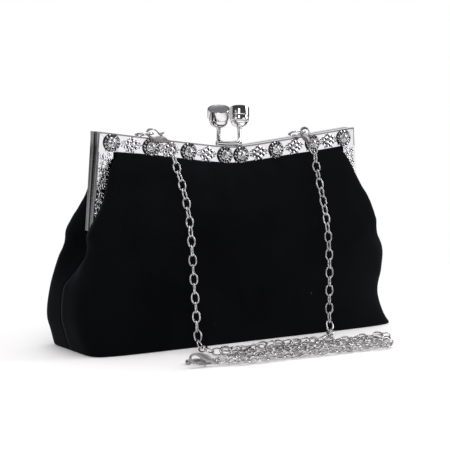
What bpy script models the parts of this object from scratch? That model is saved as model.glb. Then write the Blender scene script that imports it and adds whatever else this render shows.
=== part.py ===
"""Evening bag: a velvet clutch on a hinged kiss-lock frame, with flower trim, clasps and chains.

Metres, +Z up. X runs along the frame and the front faces -Y. The origin is on the ground, in
the middle of the pouch's bottom.
"""
import math

import bpy
import bmesh
from mathutils import Matrix, Vector

MM = 0.001
GAP = 0.3 * MM

# Frame: an arch of U-shaped channel, one half at the front and one at the rear.
FRAME_HALF_TOP = 100 * MM
FRAME_HALF_HINGE = 105.6 * MM
FRAME_TOP_Z = 144.7 * MM
FRAME_SAG = 11.8 * MM
SAG_ROUNDING = 0.1
HINGE_Z = 75 * MM
LEG_BOTTOM_Z = 79 * MM
FACE_HEIGHT = 12 * MM
LEG_WIDTH_TOP = 9.5 * MM
LEG_WIDTH_BOTTOM = 5.6 * MM
HALF_MIDDLE_Y = 4.3 * MM
HALF_DEPTH = 6.2 * MM
CHANNEL_WALL = 1.3 * MM
HINGE_SQUEEZE = 0.12
FACE_Y = HALF_MIDDLE_Y + HALF_DEPTH / 2

# Hinge: two lugs beside each other on a rivet.
LUG_RADIUS = 3.0 * MM
LUG_THICKNESS = 1.0 * MM
FRONT_LUG_X = 104.3 * MM
REAR_LUG_X = 103.0 * MM
RIVET_RADIUS = 1.15 * MM
RIVET_HOLE_RADIUS = 1.3 * MM

# Trim on the front face.
BIG_FLOWER_X = [-91.2, -63.2, -35.1, -7.2, 5.6, 33.7, 63.9, 90.6]
SMALL_FLOWER_X = [-77.4, -49.4, -21.2, 19.4, 48.6, 77.4]
BIG_FLOWER_RADIUS = 5.9 * MM
SMALL_FLOWER_RADIUS = 4.4 * MM
FLOWER_DROP = 6.2 * MM

# Kiss lock.
ARM_RADIUS = 1.4 * MM
CUP_X = 8.8 * MM
ARM_FOOT_X = 12 * MM
CUP_LEAN = math.radians(20)
CUP_BASE_Z = 145.5 * MM
CUP_BASE_Y = 1.2 * MM
CUP_HEIGHT = 14.5 * MM
CUP_RADIUS = 8.2 * MM

# Chain loops and clasps.
LOOP_WIRE = 0.7 * MM
LOOP_RADIUS = 5.8 * MM
LOOP_X = {"left": -67 * MM, "right": 52 * MM}
LOOP_TILT = {"left": math.radians(7), "right": math.radians(15)}
CLASP_SCALE = 0.88 * MM
CLASP_THICKNESS = 3.2
LEVER_PIVOT = (8.2, 2.3)
LOOP_IN_HOOK = (1.9, 0)
CHAIN_WIDTH = 6 * MM

# Pouch stations: height, half width, half depth, and how square the section is.
POUCH_STATIONS = [
    (0, 118, 27.5, 5.4),
    (10, 122, 29.5, 5.0),
    (27, 124.5, 31, 4.6),
    (45, 121, 32, 4.0),
    (60, 115.5, 31, 3.4),
    (75, 109, 29, 3.0),
]
POUCH_RIM_Z = 68 * MM
VELVET_THICKNESS = 2.0 * MM
LINING_THICKNESS = 0.8 * MM
STIFFENER_INSET = 2.4 * MM
STIFFENER_THICKNESS = 1.4 * MM
LINING_INSET = 4.2 * MM
PANEL_LINING_INSET = 5.8 * MM
SHELL_COLUMNS = 32

# Upper panels, from the rim to the frame: share of the rise, half width, half depth, and how
# far from the middle plane the panel's side edges are held.
PANEL_BOTTOM_Z = POUCH_RIM_Z + 3 * GAP
PANEL_STATIONS = [
    (0.0, 110.5, 30.5, 10.4),
    (0.3, 106.5, 28.0, 10.6),
    (0.6, 101.0, 23.5, 11.0),
    (0.8, 94.5, 18.0, 10.8),
    (0.92, 89.2, 12.5, 9.2),
    (1.0, 88.2, 6.8, 5.0),
]

NICKEL = ("polished_nickel", (0.78, 0.78, 0.80), 0.12, 1.0)
CRYSTAL = ("crystal", (0.86, 0.88, 0.92), 0.05, 0.4)
DISC = ("cup_disc", (0.45, 0.46, 0.48), 0.25, 1.0)
VELVET = ("black_velvet", (0.012, 0.012, 0.016), 0.95, 0.0)
SATIN = ("satin_lining", (0.03, 0.03, 0.035), 0.55, 0.0)
BOARD = ("board", (0.42, 0.36, 0.28), 0.9, 0.0)
CORD = ("paper_cord", (0.6, 0.55, 0.46), 0.9, 0.0)


# ---------------------------------------------------------------- helpers

def clear_scene():
    """Remove every object that the scene starts with."""
    for obj in list(bpy.data.objects):
        bpy.data.objects.remove(obj, do_unlink=True)


def new_collection(name):
    """A collection linked to the scene."""
    collection = bpy.data.collections.new(name)
    bpy.context.scene.collection.children.link(collection)
    return collection


def material(spec):
    """The Principled material that a (name, colour, roughness, metallic) tuple names."""
    name, colour, roughness, metallic = spec
    found = bpy.data.materials.get(name)
    if found:
        return found
    made = bpy.data.materials.new(name)
    made.use_nodes = True
    shader = made.node_tree.nodes["Principled BSDF"]
    shader.inputs["Base Color"].default_value = (*colour, 1.0)
    shader.inputs["Roughness"].default_value = roughness
    shader.inputs["Metallic"].default_value = metallic
    made.diffuse_color = (*colour, 1.0)
    return made


def add_object(name, data, spec, collection=None):
    """Put mesh or curve data in the scene as one named sub-part."""
    obj = bpy.data.objects.new(name, data)
    (collection or PARTS).objects.link(obj)
    if spec:
        data.materials.append(material(spec))
    return obj


def shade(mesh, angle=35):
    """Smooth shading with sharp creases kept."""
    mesh.shade_smooth()
    mesh.set_sharp_from_angle(angle=math.radians(angle))


def curve_to_mesh(curve, matrix=None):
    """The mesh of a curve, with its caps welded."""
    holder = bpy.data.objects.new("holder", curve)
    PARTS.objects.link(holder)
    bpy.context.view_layer.update()
    evaluated = holder.evaluated_get(bpy.context.evaluated_depsgraph_get())
    mesh = bpy.data.meshes.new_from_object(evaluated)
    bpy.data.objects.remove(holder, do_unlink=True)
    shape = bmesh.new()
    shape.from_mesh(mesh)
    bmesh.ops.remove_doubles(shape, verts=shape.verts, dist=0.01 * MM)
    shape.to_mesh(mesh)
    shape.free()
    if matrix:
        mesh.transform(matrix)
        if matrix.determinant() < 0:
            mesh.flip_normals()
    return mesh


def plate_mesh(outline, thickness, matrix=None, holes=()):
    """A flat outline in local XY with a thickness along local Z."""
    curve = bpy.data.curves.new("outline", "CURVE")
    curve.dimensions = "2D"
    curve.fill_mode = "BOTH"
    curve.extrude = thickness / 2
    for points in (outline, *holes):
        spline = curve.splines.new("POLY")
        spline.points.add(len(points) - 1)
        for point, place in zip(spline.points, points):
            point.co = (place[0], place[1], 0, 1)
        spline.use_cyclic_u = True
    return curve_to_mesh(curve, matrix)


def tube_curve(points, radius):
    """A round wire through points, with closed ends."""
    curve = bpy.data.curves.new("wire", "CURVE")
    curve.dimensions = "3D"
    curve.bevel_depth = radius
    curve.bevel_resolution = 2
    curve.use_fill_caps = True
    spline = curve.splines.new("POLY")
    spline.points.add(len(points) - 1)
    for point, place in zip(spline.points, points):
        point.co = (*place, 1)
    return curve


def circle(centre, radius, count, start=0.0, sweep=2 * math.pi):
    """Points on an arc; a full turn leaves out the repeated last point."""
    full = abs(sweep - 2 * math.pi) < 1e-9
    steps = count if full else count - 1
    return [
        (
            centre[0] + radius * math.cos(start + sweep * i / steps),
            centre[1] + radius * math.sin(start + sweep * i / steps),
        )
        for i in range(count)
    ]


def smooth_path(points, spacing):
    """Evenly spaced points on the Catmull-Rom curve through the route's points."""
    route = [Vector(p) for p in points]
    route = [2 * route[0] - route[1], *route, 2 * route[-1] - route[-2]]
    dense = []
    for before, start, end, after in zip(route, route[1:], route[2:], route[3:]):
        for i in range(24):
            t = i / 24
            dense.append(0.5 * (
                2 * start + (end - before) * t
                + (2 * before - 5 * start + 4 * end - after) * t ** 2
                + (3 * start - before - 3 * end + after) * t ** 3
            ))
    dense.append(route[-2])
    reach = [0.0]
    for a, b in zip(dense, dense[1:]):
        reach.append(reach[-1] + (b - a).length)
    count = max(2, round(reach[-1] / spacing) + 1)
    spaced = []
    at = 0
    for i in range(count):
        target = reach[-1] * i / (count - 1)
        while at < len(dense) - 2 and reach[at + 1] < target:
            at += 1
        share = (target - reach[at]) / max(reach[at + 1] - reach[at], 1e-12)
        spaced.append(dense[at].lerp(dense[at + 1], share))
    return spaced


def turned(name, profile, spec, steps=24):
    """A Screw of a profile given from top to bottom on its outer side, about local Z."""
    mesh = bpy.data.meshes.new(name)
    edges = [(i, i + 1) for i in range(len(profile) - 1)]
    mesh.from_pydata([(r, 0, z) for r, z in profile], edges, [])
    obj = add_object(name, mesh, spec)
    screw = obj.modifiers.new("turn", "SCREW")
    screw.steps = steps
    screw.render_steps = steps
    screw.use_merge_vertices = True
    screw.merge_threshold = 0.01 * MM
    return obj


def boolean(obj, mesh, operation):
    """Cut obj with a mesh, or join the mesh to it."""
    cutter = add_object(obj.name + "_cutter", mesh, None, CUTTERS)
    cutter.hide_render = True
    cutter.display_type = "WIRE"
    step = obj.modifiers.new(operation.lower(), "BOOLEAN")
    step.operation = operation
    step.solver = "EXACT"
    step.object = cutter


def tapered(mesh):
    """Draw a frame piece's depth in towards the hinge."""
    for vertex in mesh.vertices:
        vertex.co.y *= depth_share(vertex.co.z)
    return mesh


def interpolate(rows, at):
    """Values of a table's row at a position, on a smooth curve through the rows."""
    last = len(rows) - 1
    i = max(0, min(last - 1, sum(1 for row in rows if row[0] <= at) - 1))
    start, end = rows[i], rows[i + 1]
    before, after = rows[max(i - 1, 0)], rows[min(i + 2, last)]
    span = end[0] - start[0]
    t = (at - start[0]) / span
    values = []
    for k in range(1, len(start)):
        slope_in = (end[k] - before[k]) / (end[0] - before[0]) * span
        slope_out = (after[k] - start[k]) / (after[0] - start[0]) * span
        values.append(
            (2 * t ** 3 - 3 * t ** 2 + 1) * start[k] + (t ** 3 - 2 * t ** 2 + t) * slope_in
            + (3 * t ** 2 - 2 * t ** 3) * end[k] + (t ** 3 - t ** 2) * slope_out
        )
    return values


# ---------------------------------------------------------------- frame

def top_z(x):
    """Height of the frame's top edge, which dips towards the middle."""
    share = abs(x) / FRAME_HALF_TOP
    rise = math.hypot(share, SAG_ROUNDING) - SAG_ROUNDING
    full = math.hypot(1, SAG_ROUNDING) - SAG_ROUNDING
    return FRAME_TOP_Z - FRAME_SAG * (1 - rise / full)


def depth_share(z):
    """How much of its full depth the frame has at a height."""
    return 1 - HINGE_SQUEEZE * (FRAME_TOP_Z - z) / (FRAME_TOP_Z - HINGE_Z)


def leg_outer_x(z):
    """Half width of the frame at a height."""
    share = (FRAME_TOP_Z - z) / (FRAME_TOP_Z - HINGE_Z)
    return FRAME_HALF_TOP + (FRAME_HALF_HINGE - FRAME_HALF_TOP) * share


def arch_outline(inset, reach, bottom):
    """The arch from the front, outer edge moved in by inset and inner edge by reach."""
    columns = 20
    half = FRAME_HALF_TOP - inset
    inner_half = FRAME_HALF_TOP - LEG_WIDTH_TOP - reach
    foot_out = leg_outer_x(bottom) - inset
    foot_in = leg_outer_x(bottom) - LEG_WIDTH_BOTTOM - reach
    outline = [(-foot_out, bottom)]
    for i in range(columns + 1):
        x = -half + 2 * half * i / columns
        outline.append((x, top_z(x) - inset))
    outline += [(foot_out, bottom), (foot_in, bottom)]
    for i in range(columns + 1):
        x = inner_half - 2 * inner_half * i / columns
        outline.append((x, top_z(x) - FACE_HEIGHT - reach))
    outline.append((-foot_in, bottom))
    return outline


def upright(y):
    """Local XY to world XZ, with the plate's middle at y."""
    return Matrix.Translation((0, y, 0)) @ Matrix.Rotation(math.pi / 2, 4, "X")


def lug_mesh(side, x):
    """A hinge lug: a disc round the rivet with a tongue up into the leg."""
    arc = circle((0, 0), LUG_RADIUS, 22, math.pi, math.pi * 1.47)
    tongue = 7 * MM
    outline = [(-LUG_RADIUS, tongue), *arc, (arc[-1][0], tongue)]
    outline = [(-side * y, z) for y, z in outline]
    hole = circle((0, 0), RIVET_HOLE_RADIUS, 16)
    stand = Matrix(((0, 0, 1, 0), (1, 0, 0, 0), (0, 1, 0, 0), (0, 0, 0, 1)))
    place = Matrix.Translation((x, 0, HINGE_Z)) @ stand
    return plate_mesh(outline, LUG_THICKNESS, place, [hole])


def half_frame(name, side, lug_x):
    """One channel half; side is -1 at the front and +1 at the rear."""
    body = plate_mesh(arch_outline(0, 0, LEG_BOTTOM_Z), HALF_DEPTH, upright(side * HALF_MIDDLE_Y))
    obj = add_object(name, tapered(body), NICKEL)
    groove = plate_mesh(
        arch_outline(CHANNEL_WALL, 6 * MM, LEG_BOTTOM_Z - 2 * MM),
        HALF_DEPTH - 2 * CHANNEL_WALL,
        upright(side * HALF_MIDDLE_Y),
    )
    boolean(obj, tapered(groove), "DIFFERENCE")
    for end in (-1, 1):
        boolean(obj, lug_mesh(side, end * lug_x), "UNION")


def hinge_rivet(name, end):
    """A rivet along X through both lugs, with a head at each end."""
    inner = REAR_LUG_X - LUG_THICKNESS / 2 - GAP
    outer = FRONT_LUG_X + LUG_THICKNESS / 2 + GAP
    head = 0.8 * MM
    profile = [
        (0, outer + head), (1.4 * MM, outer + head), (2.2 * MM, outer + 0.3 * head),
        (2.2 * MM, outer), (RIVET_RADIUS, outer), (RIVET_RADIUS, inner), (2.0 * MM, inner),
        (2.0 * MM, inner - 0.7 * head), (0, inner - 0.7 * head),
    ]
    rivet = turned(name, profile, NICKEL, 16)
    rivet.location = (0, 0, HINGE_Z)
    rivet.rotation_euler = (0, end * math.pi / 2, 0)


def channel_cord(name, side):
    """The cord that wedges the fabric in the top of a channel."""
    reach = 92 * MM
    points = []
    for i in range(17):
        x = -reach + 2 * reach * i / 16
        z = top_z(x) - 3.2 * MM
        points.append((x, side * HALF_MIDDLE_Y * depth_share(z), z))
    add_object(name, tube_curve(points, 0.8 * MM), CORD)


def leg_trim(name, end):
    """Openwork strip on a front leg, with petals over its inner edge."""
    low, high = LEG_BOTTOM_Z + 1.5 * MM, 131 * MM
    petals = 6

    def width(z):
        share = max(z - low, 0) / (high - low)
        return (3.4 + 6.4 * share ** 1.3) * MM

    outer = [(end * (leg_outer_x(z) - 0.6 * MM), z) for z in (low, high)]
    inner = []
    for i in range(petals * 4 + 1):
        z = high - (high - low) * i / (petals * 4)
        petal = abs(math.sin(math.pi * i / 4)) * 1.3 * MM
        inner.append((end * (leg_outer_x(z) - 0.6 * MM - width(z) - petal), z))
    pitch = (high - low) / petals
    holes = []
    for i in range(petals):
        z = low + pitch * (i + 0.5)
        middle = end * (leg_outer_x(z) - 0.8 * MM - width(z) / 2)
        holes.append(circle((middle, z), 0.30 * width(z), 8))
    thickness = 0.8 * MM
    y = -(FACE_Y + 2 * GAP + thickness / 2)
    mesh = plate_mesh(outer + inner, thickness, upright(y), holes)
    add_object(name, tapered(mesh), NICKEL)


def flower(name, x, radius, spec, big):
    """A round flower on the front face: petals, a ring and a raised middle."""
    z = top_z(x) - FLOWER_DROP
    y = -(FACE_Y * depth_share(z) + GAP)
    if big:
        profile = [(0, 2.0), (0.36, 1.6), (0.5, 0.9), (0.8, 1.2), (1.0, 0.5), (1.0, 0), (0, 0)]
    else:
        profile = [(0, 1.7), (0.3, 1.2), (0.70, 1.3), (1.0, 0.5), (1.0, 0), (0, 0)]
    obj = turned(name, [(r * radius, h * MM) for r, h in profile], spec, 16 if big else 10)
    obj.location = (x, y, z)
    obj.rotation_euler = (math.pi / 2, 0, 0)


# ---------------------------------------------------------------- kiss lock

def knob_arm(name, side):
    """A bent arm along a frame half's top and up to its cup; side is -1 at the front."""
    y = side * HALF_MIDDLE_Y * depth_share(top_z(0))
    lift = ARM_RADIUS + GAP
    foot, cup = side * ARM_FOOT_X, -side * CUP_X
    bend = 3.2 * MM
    run = [(foot + (cup - foot) * i / 6, y) for i in range(6)]
    points = [(x, y, top_z(x) + lift) for x, y in run]
    base = Vector((cup, -side * CUP_BASE_Y, CUP_BASE_Z - GAP))
    corner = Vector((cup, y, top_z(cup) + lift))
    along = Vector((math.copysign(1, foot - cup), 0, 0))
    rise = (base - corner).normalized()
    for i in range(5):
        angle = math.pi / 2 * i / 4
        points.append(corner + along * bend * (1 - math.sin(angle)) + rise * bend * (1 - math.cos(angle)))
    points.append(corner.lerp(base, 0.7))
    points.append(base)
    add_object(name, tube_curve(smooth_path(points, 1.4 * MM), ARM_RADIUS), NICKEL)


def knob_cup(prefix, side):
    """A goblet-shaped cup at the end of an arm, leaning over the other half, with its disc."""
    profile = [
        (0, CUP_HEIGHT - 1.1 * MM), (CUP_RADIUS - 1.0 * MM, CUP_HEIGHT - 1.1 * MM),
        (CUP_RADIUS - 0.8 * MM, CUP_HEIGHT), (CUP_RADIUS - 0.2 * MM, CUP_HEIGHT),
        (CUP_RADIUS, CUP_HEIGHT - 0.4 * MM), (CUP_RADIUS, 6.4 * MM),
        (CUP_RADIUS - 0.9 * MM, 5.9 * MM), (CUP_RADIUS - 1.3 * MM, 4.2 * MM),
        (CUP_RADIUS - 2.7 * MM, 2.0 * MM), (3.0 * MM, 0.6 * MM), (1.9 * MM, 0), (0, 0),
    ]
    place = (-side * CUP_X, -side * CUP_BASE_Y, CUP_BASE_Z)
    lean = (side * CUP_LEAN, 0, 0)
    cup = turned(prefix + "_knob_cup", profile, NICKEL, 20)
    disc_low, disc_high = CUP_HEIGHT - 1.1 * MM + GAP, CUP_HEIGHT - 0.2 * MM
    edge = CUP_RADIUS - 1.0 * MM - GAP
    disc_profile = [(0, disc_high), (edge - GAP, disc_high), (edge, disc_low), (0, disc_low)]
    disc = turned(prefix + "_knob_disc", disc_profile, DISC, 20)
    for obj in (cup, disc):
        obj.location = place
        obj.rotation_euler = lean


# ---------------------------------------------------------------- chain loops and clasps

def loop_point(place, angle):
    """A point on the left or right loop; angle 0 is its +X side and 90 degrees its front."""
    x, tilt = LOOP_X[place], LOOP_TILT[place]
    forward = Vector((0, -math.cos(tilt), math.sin(tilt)))
    side = Vector((1, 0, 0))
    foot = Vector((x, 0, top_z(x) + 1.3 * MM))
    return foot + LOOP_RADIUS * (math.cos(angle) * side + (1 + math.sin(angle)) * forward)


def chain_loop(place):
    """A wire loop leaning over the front half, its stem down between the halves."""
    start = math.radians(-90)
    sweep = 2 * math.pi - 2.3 * LOOP_WIRE / LOOP_RADIUS
    ring = [loop_point(place, start + sweep * i / 16) for i in range(17)]
    x, _, top = ring[0]
    stem = [(x, 0, top - 8 * MM), (x, 0, top - 4 * MM), (x, 0, top - 1 * MM)]
    add_object(place + "_chain_loop", tube_curve([*stem, *ring], LOOP_WIRE), NICKEL)


def clasp_matrix(origin, along, facing, held):
    """Clasp units to metres: u along the clasp to its eye, v across, n towards facing.

    The clasp's point held, in its own units, lies at the origin that is given.
    """
    u = Vector(along).normalized()
    n = Vector(facing)
    n = (n - n.dot(u) * u).normalized()
    v = n.cross(u)
    turn = Matrix((u, v, n)).transposed().to_4x4()
    shift = Matrix.Translation((-held[0], -held[1], 0))
    return Matrix.Translation(origin) @ turn @ Matrix.Scale(CLASP_SCALE, 4) @ shift


def ellipse(centre, semi, start, end, count):
    """Points on an ellipse between two angles in degrees."""
    points = []
    for i in range(count):
        angle = math.radians(start + (end - start) * i / (count - 1))
        points.append((centre[0] + semi[0] * math.cos(angle), centre[1] + semi[1] * math.sin(angle)))
    return points


def clasp(prefix, origin, along, facing, held=(0, 0)):
    """A lobster clasp: hook body, sprung lever, its pin and the swivel eye."""
    place = clasp_matrix(origin, along, facing, held)
    hook = ellipse((2.6, 0), (5.6, 4.1), 118, 300, 16)
    hollow = ellipse((2.6, 0), (3.9, 2.4), 335, 118, 14)
    outline = hook + [(9.5, -3.5), (13.4, -1.9), (15.2, -1.9), (15.2, 1.9), (13.4, 1.9), (9.8, 3.6),
                      (7.0, 3.7)] + hollow
    body = add_object(prefix + "_clasp_body", plate_mesh(outline, CLASP_THICKNESS, place), NICKEL)
    slot = [(5.2, 0.4), (10.9, 0.4), (10.9, 6), (5.2, 6)]
    boolean(body, plate_mesh(slot, 1.9, place), "DIFFERENCE")
    hole = circle(LEVER_PIVOT, 0.72, 12)
    boolean(body, plate_mesh(hole, 4, place), "DIFFERENCE")
    bore = tube_curve([(12.6, 0, 0), (16, 0, 0)], 0.85)
    boolean(body, curve_to_mesh(bore, place), "DIFFERENCE")

    outer = ellipse((2.6, 0), (5.2, 3.95), 106, 58, 8)
    inner = ellipse((2.6, 0), (4.0, 2.65), 40, 112, 8)
    tab = [(7.2, 3.8), (8.8, 5.2), (10.0, 5.3), (10.2, 4.4), (9.6, 2.6), (8.9, 1.4), (7.6, 1.0)]
    lever = plate_mesh(outer + tab + inner, 1.2, place, [circle(LEVER_PIVOT, 0.72, 12)])
    lever_obj = add_object(prefix + "_clasp_lever", lever, NICKEL)
    pivot = place @ Vector((*LEVER_PIVOT, 0))
    lever_obj.data.transform(Matrix.Translation(-pivot))
    lever_obj.location = pivot

    pin = bpy.data.meshes.new(prefix + "_clasp_pin")
    shape = bmesh.new()
    bmesh.ops.create_cone(
        shape, cap_ends=True, segments=12, radius1=0.6, radius2=0.6, depth=CLASP_THICKNESS,
        matrix=Matrix.Translation((*LEVER_PIVOT, 0)),
    )
    shape.transform(place)
    shape.to_mesh(pin)
    shape.free()
    add_object(prefix + "_clasp_pin", pin, NICKEL)

    eye_centre, eye_radius, wire = 18.3, 1.9, 0.5
    ring = [
        (eye_centre + eye_radius * math.cos(a), eye_radius * math.sin(a), 0)
        for a in (math.pi + (2 * math.pi - 0.75) * i / 12 for i in range(13))
    ]
    path = [place @ Vector(p) for p in [(13.1, 0, 0), (14.6, 0, 0), *ring]]
    add_object(prefix + "_clasp_eye", tube_curve(path, wire * CLASP_SCALE), NICKEL)


def clasps():
    """Two clasps on the frame's loops and one at each end of the short chain."""
    left = loop_point("left", math.radians(48))
    right = loop_point("right", math.radians(45))
    clasp("left", left, (0.76, -0.44, -0.47), (-0.50, -0.85, 0.16), LOOP_IN_HOOK)
    clasp("right", right, (-0.15, -0.74, -0.65), (-0.53, -0.85, 0.04), LOOP_IN_HOOK)
    flat = CLASP_THICKNESS / 2 * CLASP_SCALE + 0.1 * MM
    clasp("floor", (-68.2 * MM, -80.2 * MM, 6.1 * MM), (0.97, -0.16, -0.17), (0.3, 0.85, -0.4))
    clasp("end", (-66.0 * MM, -70.6 * MM, flat), (0.93, -0.37, 0), (0, 0, -1))


# ---------------------------------------------------------------- chains

LEFT_DROP = [
    (-51.4, -16.6, 131.0), (-50.4, -19.6, 122.0), (-49.0, -25.2, 110.0), (-48.0, -30.4, 97.0),
    (-47.6, -34.2, 84.0), (-47.0, -36.2, 66.0), (-46.0, -36.8, 46.0), (-44.8, -37.2, 28.0),
    (-44.4, -38.0, 14.0), (-44.6, -40.6, 6.8), (-45.2, -45.0, 3.6), (-45.0, -50.5, 3.1),
    (-43.2, -56.0, 3.1), (-40.6, -60.2, 3.1), (-38.6, -62.9, 3.1),
]
RIGHT_DROP = [
    (57.2, -21.0, 128.6), (57.4, -22.6, 120.0), (57.4, -26.6, 109.0), (58.0, -31.2, 95.0),
    (59.2, -34.6, 80.0), (60.0, -36.4, 62.0), (60.2, -37.2, 44.0), (59.6, -38.2, 26.0),
    (58.2, -40.6, 13.0), (56.4, -44.4, 6.2), (53.4, -49.6, 3.5), (49.4, -55.6, 3.1),
    (45.4, -61.6, 3.1), (42.2, -65.6, 3.1), (40.0, -68.1, 3.1),
]
LONG_HANK = {"centre": (18.5, -75.5), "size": (127, 13), "height": 8}
SHORT_HANK = {"centre": (13, -87.3), "size": (126, 10.6), "height": 6}
HANK_TURN = math.radians(-4)


def chain_drop(name, route):
    """The hanging stretch of the long chain, as a plain tube of the links' width."""
    points = smooth_path([Vector(p) * MM for p in route], 2.4 * CHAIN_WIDTH)
    add_object(name, tube_curve(points, CHAIN_WIDTH / 2), NICKEL)


def chain_hank(name, spec):
    """The outer shape of a pile of chain on the ground, with round ends."""
    length, width = (side * MM for side in spec["size"])
    reach = (length - width) / 2
    right = circle((reach, 0), width / 2, 9, -math.pi / 2, math.pi)
    left = circle((-reach, 0), width / 2, 9, math.pi / 2, math.pi)
    height = spec["height"] * MM
    x, y = (side * MM for side in spec["centre"])
    place = Matrix.Translation((x, y, height / 2 + 0.1 * MM)) @ Matrix.Rotation(HANK_TURN, 4, "Z")
    add_object(name, plate_mesh(right + left, height, place), NICKEL)


def chains():
    """The long chain from clasp to clasp and the short one beside it."""
    chain_drop("left_chain_drop", LEFT_DROP)
    chain_drop("right_chain_drop", RIGHT_DROP)
    chain_hank("long_chain_hank", LONG_HANK)
    chain_hank("short_chain_hank", SHORT_HANK)


# ---------------------------------------------------------------- pouch

def power(value, exponent):
    """Signed power, for rounded-square sections."""
    return math.copysign(abs(value) ** exponent, value)


def pouch_ring(z, inset, start, sweep, count):
    """Points round the pouch at a height, moved in by inset."""
    half_width, half_depth, square = interpolate(POUCH_STATIONS, z / MM)
    a, b = half_width * MM - inset, half_depth * MM - inset
    points = []
    for i in range(count):
        angle = start + sweep * i / count
        x = a * power(math.sin(angle), 2 / square)
        y = -b * power(math.cos(angle), 2 / square)
        points.append((x, y, z))
    return points


def skin_rows(name, rows, closed, thickness, spec, floor=False):
    """A sheet through rows of points, thickened inwards."""
    shape = bmesh.new()
    grid = [[shape.verts.new(p) for p in row] for row in rows]
    count = len(rows[0])
    for low, high in zip(grid, grid[1:]):
        for i in range(count if closed else count - 1):
            j = (i + 1) % count
            shape.faces.new((low[i], low[j], high[j], high[i]))
    if floor:
        shape.faces.new(list(reversed(grid[0])))
    bmesh.ops.recalc_face_normals(shape, faces=shape.faces)
    if not closed:
        middle = shape.faces[len(shape.faces) // 2]
        outward = middle.calc_center_median()
        if middle.normal.y * outward.y < 0:
            bmesh.ops.reverse_faces(shape, faces=shape.faces)
    mesh = bpy.data.meshes.new(name)
    shape.to_mesh(mesh)
    shape.free()
    shade(mesh, 60)
    obj = add_object(name, mesh, spec)
    solid = obj.modifiers.new("thickness", "SOLIDIFY")
    solid.thickness = thickness
    solid.offset = -1
    return obj


def pouch_shell(name, base_z, inset, thickness, spec):
    """An open tub that follows the pouch from its floor to the rim."""
    rows = []
    corner = 4 * MM
    for turn in (35, 60, 90):
        angle = math.radians(turn)
        draw = corner * (1 - math.sin(angle))
        z = base_z + corner * (1 - math.cos(angle)) - corner * (1 - math.cos(math.radians(35)))
        rows.append(pouch_ring(z, inset + draw, 0, 2 * math.pi, SHELL_COLUMNS))
    start = rows[-1][0][2]
    steps = 5
    for i in range(1, steps + 1):
        z = start + (POUCH_RIM_Z - start) * i / steps
        rows.append(pouch_ring(z, inset, 0, 2 * math.pi, SHELL_COLUMNS))
    skin_rows(name, rows, True, thickness, spec, floor=True)


def stiffener(name, side):
    """A soft stiffening layer behind the velvet, on one side of the pouch."""
    step = 2 * math.pi / SHELL_COLUMNS
    columns = 11
    start = (0 if side < 0 else math.pi) - step * (columns - 1) / 2
    rows = []
    for i in range(6):
        z = 8 * MM + (POUCH_RIM_Z - 10 * MM) * i / 5
        rows.append(pouch_ring(z, STIFFENER_INSET, start, step * columns, columns))
    skin_rows(name, rows, False, STIFFENER_THICKNESS, BOARD)


def mouth_panel(name, side, inset, rise, columns, thickness, spec):
    """Front or rear of the mouth, from the pouch's rim up to the frame half.

    Its section is a rounded square, with a column every 10 degrees. Past 90 degrees its sides
    turn back towards the legs.
    """
    steps = 7
    reach = math.radians(10) * columns / 2
    rows = []
    for k in range(steps + 1):
        share = rise * k / steps
        half_width, half_depth, hold = interpolate(PANEL_STATIONS, share)
        a = half_width * MM - inset
        b = half_depth * MM - inset
        middle = 0.5 * (b + hold * MM) if b > hold * MM else b
        row = []
        for i in range(columns + 1):
            angle = -reach + 2 * reach * i / columns
            x = a * power(math.sin(angle), 2 / 3)
            forward = power(math.cos(angle), 2 / 3)
            if forward >= 0:
                y = middle + (b - middle) * forward
            else:
                y = middle + (middle - hold * MM) * forward / abs(power(math.cos(reach), 2 / 3))
            edge_z = top_z(x) - FACE_HEIGHT - 1.5 * MM
            row.append((x, side * y, PANEL_BOTTOM_Z + share * (edge_z - PANEL_BOTTOM_Z)))
        rows.append(row)
    skin_rows(name, rows, False, thickness, spec)


def base_board():
    """The stiff board in the bottom, between the velvet and the lining."""
    outline = []
    for i in range(40):
        angle = 2 * math.pi * i / 40
        outline.append((103 * MM * power(math.cos(angle), 0.35), 18 * MM * power(math.sin(angle), 0.35)))
    place = Matrix.Translation((0, 0, 3.2 * MM))
    add_object("base_board", plate_mesh(outline, 1.6 * MM, place), BOARD)


def slip_pocket():
    """A flat pocket for cards on the lining's rear wall."""
    outline = [(-55 * MM, 16 * MM), (55 * MM, 16 * MM), (55 * MM, 62 * MM), (-55 * MM, 62 * MM)]
    add_object("slip_pocket", plate_mesh(outline, LINING_THICKNESS, upright(22 * MM)), SATIN)


def pouch():
    """Velvet, stiffening, board and lining."""
    pouch_shell("velvet_pouch", 0, 0, VELVET_THICKNESS, VELVET)
    pouch_shell("lining_pouch", 4.4 * MM, LINING_INSET, LINING_THICKNESS, SATIN)
    for half, side in (("front", -1), ("rear", 1)):
        mouth_panel(half + "_velvet_panel", side, 0, 1.0, 22, VELVET_THICKNESS, VELVET)
        mouth_panel(half + "_lining_panel", side, PANEL_LINING_INSET, 0.93, 16, LINING_THICKNESS, SATIN)
    stiffener("front_stiffener", -1)
    stiffener("rear_stiffener", 1)
    base_board()
    slip_pocket()


# ---------------------------------------------------------------- assembly

clear_scene()
PARTS = new_collection("evening_bag")
CUTTERS = new_collection("cutters")

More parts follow.
